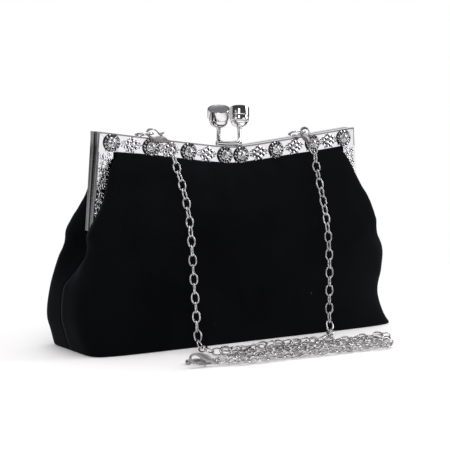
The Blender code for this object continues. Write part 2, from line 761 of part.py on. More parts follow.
half_frame("front_frame", -1, FRONT_LUG_X)
half_frame("rear_frame", 1, REAR_LUG_X)
hinge_rivet("left_hinge_rivet", -1)
hinge_rivet("right_hinge_rivet", 1)
channel_cord("front_channel_cord", -1)
channel_cord("rear_channel_cord", 1)
leg_trim("left_leg_trim", -1)
leg_trim("right_leg_trim", 1)
for number, flower_x in enumerate(BIG_FLOWER_X, 1):
    flower("big_flower_%d" % number, flower_x * MM, BIG_FLOWER_RADIUS, CRYSTAL, True)
for number, flower_x in enumerate(SMALL_FLOWER_X, 1):
    flower("small_flower_%d" % number, flower_x * MM, SMALL_FLOWER_RADIUS, CRYSTAL, False)
knob_arm("front_knob_arm", -1)
knob_arm("rear_knob_arm", 1)
knob_cup("front", -1)
knob_cup("rear", 1)
chain_loop("left")
chain_loop("right")
clasps()
chains()
pouch()
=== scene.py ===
"""Looks of the evening bag: velvet and lining shells, polished frame, flowers, clasps and chains.

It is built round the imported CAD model. Metres, +Z up, the front faces -Y.
"""
import math
import random

import bpy
import numpy as np
from mathutils import Matrix, Vector, noise


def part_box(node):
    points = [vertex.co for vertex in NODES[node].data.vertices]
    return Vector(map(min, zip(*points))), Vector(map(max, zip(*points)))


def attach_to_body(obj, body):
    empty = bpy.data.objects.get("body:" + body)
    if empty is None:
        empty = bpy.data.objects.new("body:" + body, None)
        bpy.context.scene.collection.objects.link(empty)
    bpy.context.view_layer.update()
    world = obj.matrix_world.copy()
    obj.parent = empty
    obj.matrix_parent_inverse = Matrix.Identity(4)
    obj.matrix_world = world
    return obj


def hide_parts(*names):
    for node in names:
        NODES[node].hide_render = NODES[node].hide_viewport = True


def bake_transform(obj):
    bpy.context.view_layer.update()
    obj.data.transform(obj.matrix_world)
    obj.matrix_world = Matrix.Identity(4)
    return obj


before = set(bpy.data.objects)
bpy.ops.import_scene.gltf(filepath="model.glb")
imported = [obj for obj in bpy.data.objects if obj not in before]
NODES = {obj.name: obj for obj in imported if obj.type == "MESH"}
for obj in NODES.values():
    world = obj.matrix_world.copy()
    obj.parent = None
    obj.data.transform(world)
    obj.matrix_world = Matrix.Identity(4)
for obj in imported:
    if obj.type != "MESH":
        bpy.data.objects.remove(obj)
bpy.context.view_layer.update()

MM = 0.001
RANDOM = random.Random(7)

# Frame, as the CAD model has it.
FRAME_HALF = 100 * MM
FRAME_TOP_Z = 144.7 * MM
FRAME_SAG = 11.8 * MM
SAG_ROUNDING = 0.1
HINGE_Z = 75 * MM
HINGE_HALF = 105.6 * MM
LEG_BOTTOM_Z = 79 * MM
FACE_HEIGHT = 12 * MM
LEG_WIDTH_TOP = 9.5 * MM
LEG_WIDTH_BOTTOM = 5.6 * MM
HALF_MIDDLE_Y = 4.3 * MM
HALF_DEPTH = 6.2 * MM
HINGE_SQUEEZE = 0.12
LUG_X = {-1: 104.3 * MM, 1: 103.0 * MM}

# Kiss lock, loops and clasps.
CUP_X = 8.8 * MM
CUP_BASE = (1.2 * MM, 145.5 * MM)
CUP_LEAN = math.radians(22)
CUP_TURN = math.radians(-28)
CUP_HEIGHT = 14.5 * MM
ARM_FOOT_X = 12 * MM
ARM_RADIUS = 1.4 * MM
ARM_SPLAY = 2.6 * MM
LOOP_WIRE = 0.7 * MM
LOOP_RADIUS = 5.8 * MM
LOOP_X = {"left": -67 * MM, "right": 52 * MM}
LOOP_TILT = {"left": math.radians(7), "right": math.radians(15)}
CLASP_SCALE = 0.88 * MM
CLASP_THICKNESS = 3.2
LOOP_IN_HOOK = (1.9, 0)
EYE_CENTRE = 18.3
EYE_RADIUS = 1.9

# Chain links.
LINK_LENGTH = 8.6 * MM
LINK_WIDTH = 5.9 * MM
LINK_WIRE = 1.15 * MM
LINK_PITCH = 6.3 * MM


# ---------------------------------------------------------------- mesh helpers

class Shape:
    """Vertices and faces gathered into one mesh, each face with a material number."""

    def __init__(self):
        self.verts, self.faces, self.marks, self.count = [], [], [], 0

    def add(self, part, matrix=None, mark=0):
        """Add (verts, faces), moved by a matrix."""
        verts = np.asarray(part[0], float)
        faces = part[1]
        if matrix is not None:
            turn = np.array(matrix.to_3x3())
            verts = verts @ turn.T + np.array(matrix.translation)
            if np.linalg.det(turn) < 0:
                faces = [list(reversed(f)) for f in faces]
        self.verts.append(verts)
        self.faces += [[i + self.count for i in f] for f in faces]
        self.marks += [mark] * len(faces)
        self.count += len(verts)
        return self

    def made(self, name, materials, crease=40):
        """The named object, smooth but for edges over crease degrees, with nothing under the floor."""
        mesh = bpy.data.meshes.new(name)
        verts = np.vstack(self.verts)
        verts[:, 2] = np.maximum(verts[:, 2], 0)
        mesh.from_pydata(verts.tolist(), [], self.faces)
        for made in materials:
            mesh.materials.append(made)
        mesh.polygons.foreach_set("material_index", self.marks)
        mesh.shade_smooth()
        mesh.set_sharp_from_angle(angle=math.radians(crease))
        mesh.update()
        obj = bpy.data.objects.new(name, mesh)
        bpy.context.scene.collection.objects.link(obj)
        return obj


def transport(points, closed=False, normal=None):
    """Tangents, normals and binormals along a line, turning as little as possible."""
    p = np.asarray(points, float)
    if closed:
        t = np.roll(p, -1, 0) - np.roll(p, 1, 0)
    else:
        t = np.gradient(p, axis=0)
    t /= np.linalg.norm(t, axis=1)[:, None]
    first = np.array((0.0, 0.0, 1.0) if normal is None else normal, float)
    if abs(first @ t[0]) > 0.97:
        first = np.array((1.0, 0.0, 0.0))
    n = np.zeros_like(p)
    for i in range(len(p)):
        base = first if i == 0 else n[i - 1]
        flat = base - (base @ t[i]) * t[i]
        n[i] = flat / np.linalg.norm(flat)
    return t, n, np.cross(t, n)


def sweep(points, radii, sides=8, closed=False, normal=None, dome=0.35):
    """A tube; radii is one number, or a (along normal, along binormal) pair for each point."""
    p = np.asarray(points, float)
    if np.isscalar(radii):
        radii = [(radii, radii)] * len(p)
    r = np.asarray(radii, float)
    t, n, b = transport(p, closed, normal)
    angles = 2 * np.pi * np.arange(sides) / sides
    rings = (
        p[:, None, :]
        + np.cos(angles)[None, :, None] * (r[:, :1, None] * n[:, None, :])
        + np.sin(angles)[None, :, None] * (r[:, 1:, None] * b[:, None, :])
    )
    verts = rings.reshape(-1, 3)
    faces = []
    count = len(p)
    for i in range(count if closed else count - 1):
        j = (i + 1) % count
        for k in range(sides):
            m = (k + 1) % sides
            faces.append([i * sides + k, i * sides + m, j * sides + m, j * sides + k])
    if not closed:
        ends = np.array([
            p[0] - t[0] * dome * r[0].mean(),
            p[-1] + t[-1] * dome * r[-1].mean(),
        ])
        verts = np.vstack([verts, ends])
        low, high = count * sides, count * sides + 1
        for k in range(sides):
            m = (k + 1) % sides
            faces.append([low, m, k])
            faces.append([high, (count - 1) * sides + k, (count - 1) * sides + m])
    return verts, faces


def lathe(profile, steps=48):
    """A closed solid turned about Z from (radius, height) pairs that start and end on the axis."""
    inner = profile[1:-1]
    angles = 2 * np.pi * np.arange(steps) / steps
    verts = [(0, 0, profile[0][1])]
    for radius, height in inner:
        verts += [(radius * math.cos(a), radius * math.sin(a), height) for a in angles]
    verts.append((0, 0, profile[-1][1]))
    last = len(verts) - 1
    faces = []
    for k in range(steps):
        m = (k + 1) % steps
        faces.append([0, 1 + k, 1 + m])
        for i in range(len(inner) - 1):
            a, b = 1 + i * steps, 1 + (i + 1) * steps
            faces.append([a + k, b + k, b + m, a + m])
        end = 1 + (len(inner) - 1) * steps
        faces.append([end + k, last, end + m])
    return verts, faces


def ellipse(centre, semi, start, end, count):
    """Points on an ellipse in the XY plane between two angles in degrees."""
    angles = np.radians(np.linspace(start, end, count))
    return [(centre[0] + semi[0] * math.cos(a), centre[1] + semi[1] * math.sin(a), 0.0) for a in angles]


def ring(centre, semi, wire, count=16, sides=6):
    """An oval wire ring that lies in the XY plane."""
    return sweep(ellipse(centre, semi, 0, 360 - 360 / count, count), wire, sides, closed=True)


def mm(rows):
    """Rows given in millimetres, in metres."""
    return [tuple(value * MM for value in row) for row in rows]


def moved(x, y, z):
    """Matrix of a move."""
    return Matrix.Translation((x, y, z))


def turned(angle, axis="Z"):
    """Matrix of a turn, in radians."""
    return Matrix.Rotation(angle, 4, axis)


def distances(points):
    """Distance along a polyline to each of its points."""
    return np.concatenate([[0], np.cumsum(np.linalg.norm(np.diff(points, axis=0), axis=1))])


def evenly(points, count):
    """A line resampled to evenly spaced points."""
    points = np.asarray(points, float)
    reach = distances(points)
    targets = np.linspace(0, reach[-1], count)
    return np.stack([np.interp(targets, reach, column) for column in points.T], 1)


def smooth_path(points, spacing):
    """Evenly spaced points on the Catmull-Rom curve through the route's points."""
    route = [Vector(p) for p in points]
    route = [2 * route[0] - route[1], *route, 2 * route[-1] - route[-2]]
    dense = []
    for before, start, end, after in zip(route, route[1:], route[2:], route[3:]):
        for i in range(24):
            t = i / 24
            dense.append(0.5 * (
                2 * start + (end - before) * t
                + (2 * before - 5 * start + 4 * end - after) * t ** 2
                + (3 * start - before - 3 * end + after) * t ** 3
            ))
    dense.append(route[-2])
    return evenly(dense, max(2, round(distances(dense)[-1] / spacing) + 1))


def step(value, low, high):
    """Smooth step from 0 at low to 1 at high."""
    t = np.clip((value - low) / (high - low), 0, 1)
    return t * t * (3 - 2 * t)


def interpolate(rows, at):
    """Values of a table's row at a position, on a smooth curve through the rows."""
    last = len(rows) - 1
    at = min(max(at, rows[0][0]), rows[-1][0])
    i = max(0, min(last - 1, sum(1 for row in rows if row[0] <= at) - 1))
    start, end = rows[i], rows[i + 1]
    before, after = rows[max(i - 1, 0)], rows[min(i + 2, last)]
    span = end[0] - start[0]
    t = (at - start[0]) / span
    values = []
    for k in range(1, len(start)):
        slope_in = (end[k] - before[k]) / (end[0] - before[0]) * span
        slope_out = (after[k] - start[k]) / (after[0] - start[0]) * span
        values.append(
            (2 * t ** 3 - 3 * t ** 2 + 1) * start[k] + (t ** 3 - 2 * t ** 2 + t) * slope_in
            + (3 * t ** 2 - 2 * t ** 3) * end[k] + (t ** 3 - t ** 2) * slope_out
        )
    return values


# ---------------------------------------------------------------- materials

def new_material(name):
    """A material with its node tree and Principled shader."""
    made = bpy.data.materials.new(name)
    made.use_nodes = True
    return made, made.node_tree, made.node_tree.nodes["Principled BSDF"]


def put(tree, made, **values):
    """Set a node's sockets or properties by name; a socket given as the value is linked."""
    for key, value in values.items():
        name = key.replace("_", " ")
        if isinstance(value, bpy.types.NodeSocket):
            tree.links.new(value, made.inputs[name])
        elif name in made.inputs:
            made.inputs[name].default_value = value
        else:
            setattr(made, key, value)
    return made


def node(tree, kind, **values):
    """A new node, set up by name."""
    return put(tree, tree.nodes.new("ShaderNode" + kind), **values)


def fade(tree, value, low, high, start=0.0, end=1.0, kind="SMOOTHSTEP"):
    """A value mapped from low and high to start and end."""
    made = node(tree, "MapRange", interpolation_type=kind, Value=value,
                From_Min=low, From_Max=high, To_Min=start, To_Max=end)
    return made.outputs["Result"]


def combine(tree, operation, a, b):
    """The result of a sum on two sockets or numbers."""
    made = node(tree, "Math", operation=operation)
    for socket, value in zip(made.inputs, (a, b)):
        if isinstance(value, bpy.types.NodeSocket):
            tree.links.new(value, socket)
        else:
            socket.default_value = value
    return made.outputs["Value"]


def mix(tree, factor, a, b, blend_type="MIX"):
    """Two colours mixed."""
    made = node(tree, "Mix", data_type="RGBA", blend_type=blend_type, Factor=factor, A=a, B=b)
    return made.outputs["Result"]


def for_reflections(tree, level):
    """A strength of 1 for what is seen directly and for soft light, and of level for reflections."""
    rays = node(tree, "LightPath")
    made = node(tree, "Mix", data_type="FLOAT", Factor=rays.outputs["Is Glossy Ray"], A=1.0, B=level)
    return made.outputs["Result"]


def ramp(tree, source, stops):
    """A colour ramp of a value; stops are (position, grey or colour)."""
    made = node(tree, "ValToRGB", Fac=source)
    elements = made.color_ramp.elements
    while len(elements) < len(stops):
        elements.new(0.5)
    for element, (position, colour) in zip(elements, stops):
        element.position = position
        element.color = (colour, colour, colour, 1) if np.isscalar(colour) else (*colour, 1)
    return made.outputs["Color"]


def position(tree, scale=(1.0, 1.0, 1.0)):
    """Object-space position, so a pattern stays on the piece as it moves."""
    coords = node(tree, "TexCoord")
    return node(tree, "Mapping", Scale=scale, Vector=coords.outputs["Object"]).outputs["Vector"]


def bump(tree, shader, height, strength, distance):
    """Feed a height into the shader's normal."""
    made = node(tree, "Bump", Strength=strength, Distance=distance, Height=height)
    put(tree, shader, Normal=made.outputs["Normal"])


def metal(name, light, dark, rough, grain=900.0, wave=0.05, scratch=0.12):
    """Plated metal: slight tone drift, fine scratches and softly uneven polish."""
    made, tree, shader = new_material(name)
    where = position(tree)
    drift = node(tree, "TexNoise", Vector=where, Scale=70.0, Detail=3.0).outputs["Fac"]
    fine = node(tree, "TexNoise", Vector=where, Scale=grain, Detail=5.0, Roughness=0.7).outputs["Fac"]
    put(tree, shader, Metallic=1.0, Base_Color=ramp(tree, drift, [(0.3, dark), (0.62, light)]),
        Roughness=ramp(tree, fine, [(0.35, rough * 0.7), (0.7, rough * 1.5)]))
    bump(tree, shader, fine, scratch, wave * MM)
    return made


def side_metal_with_painted_light(name):
    """Drawn metal of the legs' sides: long streaks, with painted light across the depth: bands of painted
    reflection, and painted shade darkest next to the gap between the halves.
    """
    made, tree, shader = new_material(name)
    apart = node(tree, "SeparateXYZ", Vector=node(tree, "TexCoord").outputs["Object"])
    depth = fade(tree, apart.outputs["Y"], -7.4 * MM, 7.4 * MM, kind="LINEAR")
    # Painted light: light and dark bands across both halves' depth stand in for reflections, and the darkest
    # band is painted shade at the gap between the halves.
    tone = ramp(tree, depth, [
        (0.0, 0.16), (0.05, 0.62), (0.10, 0.66), (0.16, 0.20), (0.27, 0.10), (0.42, 0.07), (0.57, 0.34),
        (0.66, 0.62), (0.74, 0.30), (0.84, 0.46), (0.93, 0.34), (1.0, 0.62)])
    streaks = node(tree, "TexNoise", Vector=position(tree, (500.0, 1500.0, 14.0)),
                   Scale=1.0, Detail=4.0, Roughness=0.6).outputs["Fac"]
    lines = ramp(tree, streaks, [(0.32, 0.28), (0.66, 0.60)])
    # The painted bands show more higher up, and the plain streaks more lower down.
    rise = fade(tree, apart.outputs["Z"], 88 * MM, 128 * MM, 0.28, 0.85, "LINEAR")
    put(tree, shader, Metallic=1.0, Base_Color=mix(tree, rise, lines, tone),
        Roughness=ramp(tree, streaks, [(0.3, 0.18), (0.7, 0.32)]))
    bump(tree, shader, streaks, 0.25, 0.1 * MM)
    return made


def crystal(name, painted_glint_grey):
    """Clear cut stone over foil: random greys from dark to near white, painted in as the facets' glints and
    reflections.
    """
    made, tree, shader = new_material(name)
    cells = node(tree, "TexVoronoi", Vector=position(tree), Scale=900.0)
    # Painted glints: each cell's grey stands in for light off a facet.
    tone = ramp(tree, cells.outputs["Color"],
                [(0.15, 0.10), (0.4, 0.42), (0.62, painted_glint_grey), (0.85, (0.96, 0.97, 1.0))])
    put(tree, shader, Metallic=0.85, Coat_Weight=1.0, Coat_Roughness=0.02, Base_Color=tone,
        Roughness=ramp(tree, cells.outputs["Distance"], [(0.0, 0.03), (0.6, 0.16)]))
    bump(tree, shader, cells.outputs["Distance"], 0.5, 0.25 * MM)
    return made


def velvet():
    """Short black pile: nap that shades in soft patches, fine fibre grain and a little lint."""
    made, tree, shader = new_material("black_velvet_pile")
    where = position(tree)
    nap = node(tree, "TexNoise", Vector=where, Scale=16.0, Detail=4.0, Roughness=0.55,
               Distortion=0.6).outputs["Fac"]
    pile = node(tree, "TexNoise", Vector=where, Scale=1500.0, Detail=3.0, Roughness=0.6).outputs["Fac"]
    specks = node(tree, "TexVoronoi", Vector=where, Scale=95.0, Randomness=1.0)
    tone = ramp(tree, nap, [(0.30, (0.0013, 0.0015, 0.0021)), (0.72, (0.0042, 0.0046, 0.0058))])
    grain = ramp(tree, pile, [(0.35, 0.55), (0.7, 1.0)])
    dots = ramp(tree, specks.outputs["Distance"], [(0.035, 1.0), (0.055, 0.0)])
    pick = ramp(tree, specks.outputs["Color"], [(0.80, 0.0), (0.84, 1.0)])
    shaded = mix(tree, 1.0, tone, grain, "MULTIPLY")
    lint = mix(tree, 1.0, dots, pick, "MULTIPLY")
    put(tree, shader, Specular_IOR_Level=0.03, Sheen_Weight=0.045, Sheen_Roughness=0.42,
        Sheen_Tint=(0.55, 0.60, 0.72, 1), Base_Color=mix(tree, lint, shaded, (0.07, 0.07, 0.075, 1)),
        Roughness=ramp(tree, nap, [(0.3, 0.82), (0.7, 0.97)]))
    bump(tree, shader, pile, 0.35, 0.25 * MM)
    return made


def woven(name, dark, light, scale, rough, sheen):
    """Cloth with crossed threads."""
    made, tree, shader = new_material(name)
    where = position(tree)
    across, along = (
        node(tree, "TexWave", Vector=where, Scale=scale * wider, Distortion=1.2, Detail=2.0,
             bands_direction=way).outputs["Fac"]
        for way, wider in (("X", 1.0), ("Z", 1.1)))
    threads = combine(tree, "MULTIPLY", across, along)
    put(tree, shader, Sheen_Weight=sheen, Base_Color=ramp(tree, threads, [(0.0, dark), (1.0, light)]),
        Roughness=ramp(tree, threads, [(0.0, rough), (1.0, rough * 0.75)]))
    bump(tree, shader, threads, 0.4, 0.1 * MM)
    return made


def fibrous(name, dark, light, scale):
    """Board, felt or twisted paper: matt fibres."""
    made, tree, shader = new_material(name)
    fibres = node(tree, "TexNoise", Vector=position(tree), Scale=scale, Detail=8.0,
                  Roughness=0.75).outputs["Fac"]
    put(tree, shader, Base_Color=ramp(tree, fibres, [(0.3, dark), (0.7, light)]),
        Roughness=ramp(tree, fibres, [(0.3, 0.95), (0.7, 0.8)]))
    bump(tree, shader, fibres, 0.4, 0.2 * MM)
    return made


NICKEL = metal("polished_nickel_plate", (0.88, 0.87, 0.90), (0.80, 0.79, 0.82), 0.06)
MIRROR = metal("mirror_nickel_plate", (0.86, 0.85, 0.86), (0.80, 0.785, 0.79), 0.03, scratch=0.03)
CHAIN = metal("chain_nickel_plate", (0.70, 0.685, 0.69), (0.50, 0.485, 0.485), 0.14)
CLASP = metal("clasp_nickel_plate", (0.42, 0.405, 0.405), (0.30, 0.29, 0.29), 0.42)
SATIN_METAL = metal("satin_grey_metal", (0.30, 0.30, 0.32), (0.22, 0.22, 0.24), 0.3, 1600.0, 0.04, 0.2)
# Painted shade: dark metal for the flowers' cups and the floors of openwork holes, where shade falls.
RECESS_PAINTED_SHADE = metal("painted_shade_recess", (0.10, 0.095, 0.095), (0.035, 0.032, 0.032), 0.4)
# Painted shadow: dark metal for thin lines along the channel's edges and its mitres.
EDGE_PAINTED_SHADOW_LINE = metal("shadowed_edge", (0.34, 0.33, 0.34), (0.22, 0.21, 0.22), 0.3)
# Leg sides: streaks under painted reflection bands and painted shade.
SIDE_METAL_PAINTED_LIGHT = side_metal_with_painted_light("side_nickel_painted_reflection_bands")
STONE = crystal("clear_stone_painted_glints", 0.62)
VELVET = velvet()
SATIN = woven("black_satin_lining", (0.012, 0.012, 0.014), (0.05, 0.05, 0.055), 900.0, 0.5, 0.2)
BOARD = fibrous("grey_board", (0.30, 0.26, 0.21), (0.46, 0.40, 0.32), 600.0)
FELT = fibrous("stiffening_felt", (0.10, 0.10, 0.105), (0.17, 0.17, 0.175), 900.0)
PAPER = fibrous("twisted_paper", (0.46, 0.41, 0.33), (0.68, 0.62, 0.52), 900.0)


# ---------------------------------------------------------------- camera, light and floor

def look_at(obj, target):
    """Aim an object's -Z at a point."""
    obj.rotation_euler = (Vector(target) - obj.location).to_track_quat("-Z", "Y").to_euler()


def camera():
    """The main view: from the left, a little above the middle."""
    data = bpy.data.cameras.new("camera")
    data.lens = 89.35
    data.clip_start = 0.01
    obj = bpy.data.objects.new("camera", data)
    bpy.context.scene.collection.objects.link(obj)
    target = Vector((-3.2, 0, 77.5)) * MM
    azimuth, pitch, distance = math.radians(28), math.radians(6.707), 0.785
    back = Vector((-math.sin(azimuth) * math.cos(pitch), -math.cos(azimuth) * math.cos(pitch),
                   math.sin(pitch)))
    obj.location = target + distance * back
    look_at(obj, target)
    bpy.context.scene.camera = obj


def softbox(name, location, size, power):
    """A rectangular soft light aimed at the bag."""
    data = bpy.data.lights.new(name, "AREA")
    data.shape = "RECTANGLE"
    data.size, data.size_y = size
    data.energy = power
    obj = bpy.data.objects.new(name, data)
    bpy.context.scene.collection.objects.link(obj)
    obj.location = location
    look_at(obj, (0, 0, 80 * MM))


def world_light():
    """White studio for the view and for soft light; reflections see a darker room with panels."""
    world = bpy.data.worlds.new("studio")
    bpy.context.scene.world = world
    world.use_nodes = True
    tree = world.node_tree
    coords = node(tree, "TexCoord")
    # Each panel: its direction, the cosines where it starts and is full, and its level.
    panels = [((0.44, -0.88, -0.06), 0.93, 0.96, 1.0), ((0, 0, 1), 0.82, 0.88, 1.0),
              ((-0.52, 0.85, 0.0), 0.70, 0.98, 0.55), ((-0.93, -0.30, 0.2), 0.95, 0.97, 0.8),
              ((0.30, 0.56, 0.78), 0.86, 0.97, 0.45), ((0.46, 0.88, 0.13), 0.93, 0.97, 0.75)]
    room = 0.055
    for direction, low, high, level in panels:
        toward = node(tree, "VectorMath", operation="DOT_PRODUCT")
        toward.inputs[1].default_value = Vector(direction).normalized()
        tree.links.new(coords.outputs["Generated"], toward.inputs[0])
        room = combine(tree, "MAXIMUM", fade(tree, toward.outputs["Value"], low, high, 0.0, level), room)
    put(tree, tree.nodes["Background"], Color=(1.0, 1.0, 1.0, 1), Strength=for_reflections(tree, room))


def floor():
    """A round pale floor that fades to the studio's white; near the bag it is dim in reflections."""
    steps, radii = 64, (0.2, 0.35, 0.5, 0.7, 0.9)
    verts = [(0, 0, 0)]
    for radius in radii:
        verts += ellipse((0, 0), (radius, radius), 0, 360 - 360 / steps, steps)
    faces = [[0, 1 + k, 1 + (k + 1) % steps] for k in range(steps)]
    for i in range(len(radii) - 1):
        a, b = 1 + i * steps, 1 + (i + 1) * steps
        faces += [[a + k, b + k, b + (k + 1) % steps, a + (k + 1) % steps] for k in range(steps)]
    made, tree, shader = new_material("pale_floor")
    put(tree, shader, Base_Color=(0.90, 0.885, 0.89, 1), Roughness=0.6, Specular_IOR_Level=0.2)
    coords = node(tree, "TexCoord")
    length = node(tree, "VectorMath", operation="LENGTH", Vector=coords.outputs["Object"]).outputs["Value"]
    near = fade(tree, length, 0.38, 0.60, 0.25, 1.0)
    glow = node(tree, "Emission", Strength=for_reflections(tree, near))
    blend = node(tree, "MixShader", Fac=fade(tree, length, 0.10, 0.42))
    tree.links.new(shader.outputs["BSDF"], blend.inputs[1])
    tree.links.new(glow.outputs["Emission"], blend.inputs[2])
    put(tree, tree.nodes["Material Output"], Surface=blend.outputs["Shader"])
    obj = Shape().add((verts, faces)).made("floor", [made])
    obj.location.z = -0.05 * MM


def studio():
    """Camera, lights and floor."""
    bpy.context.scene.view_settings.view_transform = "Standard"
    camera()
    softbox("front_box", (-0.75, -1.25, 0.75), (0.55, 0.8), 3.4)
    softbox("right_box", (1.15, -0.35, 0.55), (0.5, 0.9), 6.5)
    softbox("top_box", (0.1, -0.1, 1.35), (0.9, 0.7), 4.0)
    world_light()
    floor()


studio()


# ---------------------------------------------------------------- pieces and the CAD model

def attach(obj, body, slot, *nodes):
    """Let a piece ride on a body in place of CAD nodes; the slot, a finish of the record's, is not used."""
    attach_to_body(obj, body)
    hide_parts(*nodes)


def dress(name, made):
    """Give a CAD node a better material."""
    obj = NODES[name]
    obj.data.materials.clear()
    obj.data.materials.append(made)


# ---------------------------------------------------------------- frame geometry

def top_z(x):
    """Height of the frame's top edge, which dips towards the middle."""
    share = abs(x) / FRAME_HALF
    rise = math.hypot(share, SAG_ROUNDING) - SAG_ROUNDING
    full = math.hypot(1, SAG_ROUNDING) - SAG_ROUNDING
    return FRAME_TOP_Z - FRAME_SAG * (1 - rise / full)


def depth_share(z):
    """How much of its full depth the frame has at a height."""
    return 1 - HINGE_SQUEEZE * (FRAME_TOP_Z - z) / (FRAME_TOP_Z - HINGE_Z)


def leg_outer_x(z):
    """Half width of the frame at a height."""
    return FRAME_HALF + (HINGE_HALF - FRAME_HALF) * (FRAME_TOP_Z - z) / (FRAME_TOP_Z - HINGE_Z)


def leg_width(z):
    """Width of a leg's face at a height."""
    share = (z - LEG_BOTTOM_Z) / (FRAME_TOP_Z - LEG_BOTTOM_Z)
    return LEG_WIDTH_BOTTOM + (LEG_WIDTH_TOP - LEG_WIDTH_BOTTOM) * share


# ---------------------------------------------------------------- clasps

def loop_point(place, angle):
    """A point on the left or right loop; angle 0 is its +X side and 90 degrees its front."""
    x, tilt = LOOP_X[place], LOOP_TILT[place]
    forward = Vector((0, -math.cos(tilt), math.sin(tilt)))
    foot = Vector((x, 0, top_z(x) + 1.3 * MM))
    return foot + LOOP_RADIUS * (math.cos(angle) * Vector((1, 0, 0)) + (1 + math.sin(angle)) * forward)


def clasp_matrix(origin, along, facing, held=(0, 0)):
    """Clasp units to metres: u along the clasp to its eye, v across, n towards facing."""
    u = Vector(along).normalized()
    n = Vector(facing)
    n = (n - n.dot(u) * u).normalized()
    turn = Matrix((u, n.cross(u), n)).transposed().to_4x4()
    return moved(*origin) @ turn @ Matrix.Scale(CLASP_SCALE, 4) @ moved(-held[0], -held[1], 0)


def clasp_places():
    """Where each clasp is, as the CAD model has it."""
    flat = CLASP_THICKNESS / 2 * CLASP_SCALE + 0.1 * MM
    left, right = loop_point("left", math.radians(48)), loop_point("right", math.radians(45))
    return {
        "left": clasp_matrix(left, (0.76, -0.44, -0.47), (-0.50, -0.85, 0.16), LOOP_IN_HOOK),
        "right": clasp_matrix(right, (-0.15, -0.74, -0.65), (-0.53, -0.85, 0.04), LOOP_IN_HOOK),
        "floor": clasp_matrix((-68.2 * MM, -80.2 * MM, 6.1 * MM), (0.97, -0.16, -0.17), (0.3, 0.85, -0.4)),
        "end": clasp_matrix((-66.0 * MM, -70.6 * MM, flat), (0.93, -0.37, 0), (0, 0, -1)),
    }


def clasp(prefix, place):
    """A lobster clasp: cast hook and body, sprung lever and swivel eye, round its CAD pin."""
    def piece(shape, name, body, node_name):
        whole = Shape().add((np.vstack(shape.verts), shape.faces), place)
        attach(whole.made(prefix + name, [CLASP], 50), body, "polished_nickel", prefix + node_name)
        return prefix + name

    up = (0, 0, 1)
    line = ellipse((2.6, 0), (4.75, 3.25), 116, 285, 15)
    line += [(5.6, -2.75, 0), (7.4, -1.9, 0), (9.2, -0.95, 0), (10.9, -0.35, 0), (12.6, -0.05, 0),
             (14.0, 0, 0), (15.1, 0, 0)]
    across = [0.60, 0.74] + [0.86] * 10 + [0.95, 1.10, 1.3, 1.75, 2.35, 2.75, 2.6, 2.1, 1.55, 1.35]
    thick = [1.0, 1.25] + [1.42] * 10 + [1.5, 1.55, 1.6, 1.7, 1.85, 1.95, 1.95, 1.8, 1.5, 1.35]
    cast = Shape().add(sweep(line, list(zip(thick, across)), 14, normal=up, dome=0.3))
    collar = [(0, -0.5), (1.25, -0.5), (1.62, -0.35), (1.7, 0), (1.62, 0.35), (1.25, 0.5), (0, 0.5)]
    cast.add(lathe(collar, 20), moved(15.0, 0, 0) @ turned(math.pi / 2, "Y"))

    arc = ellipse((2.6, 0), (4.55, 3.32), 108, 44, 9)
    arc += [(7.4, 2.5, 0), (8.4, 2.0, 0), (9.2, 1.5, 0)]
    sizes = [(0.42, 0.34), (0.55, 0.42)] + [(0.60, 0.52)] * 6
    sizes += [(0.62, 0.7), (0.62, 1.1), (0.62, 1.2), (0.5, 0.7)]
    lever = Shape().add(sweep(arc, sizes, 10, normal=up))
    nub = [(8.0, 3.0, 0), (8.7, 3.9, 0), (9.3, 4.8, 0)]
    lever.add(sweep(nub, [(0.6, 0.75), (0.6, 0.8), (0.45, 0.55)], 10, normal=up))

    eye = Shape().add(ring((EYE_CENTRE, 0), (EYE_RADIUS, EYE_RADIUS), 0.5, 24, 8))
    eye.add(sweep([(13.4, 0, 0), (14.8, 0, 0), (16.3, 0, 0)], 0.55, 10))
    return [piece(cast, "_clasp_cast_body", "front_half", "_clasp_body"),
            piece(lever, "_clasp_sprung_lever", prefix + "_lever", "_clasp_lever"),
            piece(eye, "_clasp_swivel_eye", "front_half", "_clasp_eye"),
            prefix + "_clasp_pin"]


# ---------------------------------------------------------------- chains

LEFT_DROP = [
    (-51.4, -16.6, 131.0), (-50.4, -19.6, 122.0), (-49.0, -25.2, 110.0), (-48.0, -30.4, 97.0),
    (-47.6, -34.2, 84.0), (-47.0, -36.2, 66.0), (-46.0, -36.8, 46.0), (-44.8, -37.2, 28.0),
    (-44.4, -38.0, 14.0), (-44.6, -40.6, 6.8), (-45.2, -45.0, 3.6), (-45.0, -50.5, 3.1),
    (-43.2, -56.0, 3.1), (-40.6, -60.2, 3.1), (-38.6, -62.9, 3.1),
]
RIGHT_DROP = [
    (57.2, -21.0, 128.6), (57.4, -22.6, 120.0), (57.4, -26.6, 109.0), (58.0, -31.2, 95.0),
    (59.2, -34.6, 80.0), (60.0, -36.4, 62.0), (60.2, -37.2, 44.0), (59.6, -38.2, 26.0),
    (58.2, -40.6, 13.0), (56.4, -44.4, 6.2), (53.4, -49.6, 3.5), (49.4, -55.6, 3.1),
    (45.4, -61.6, 3.1), (42.2, -65.6, 3.1), (40.0, -68.1, 3.1),
]
LONG_HANK = {"centre": (18.5, -75.5), "size": (127, 13)}
SHORT_HANK = {"centre": (13, -87.3), "size": (126, 10.6)}
HANK_TURN = math.radians(-4)


def in_hank(hank, along, across, height):
    """A point in a hank, in millimetres along it, across it and up."""
    x, y = hank["centre"]
    c, s = math.cos(HANK_TURN), math.sin(HANK_TURN)
    return (x + along * c - across * s, y + along * s + across * c, height)


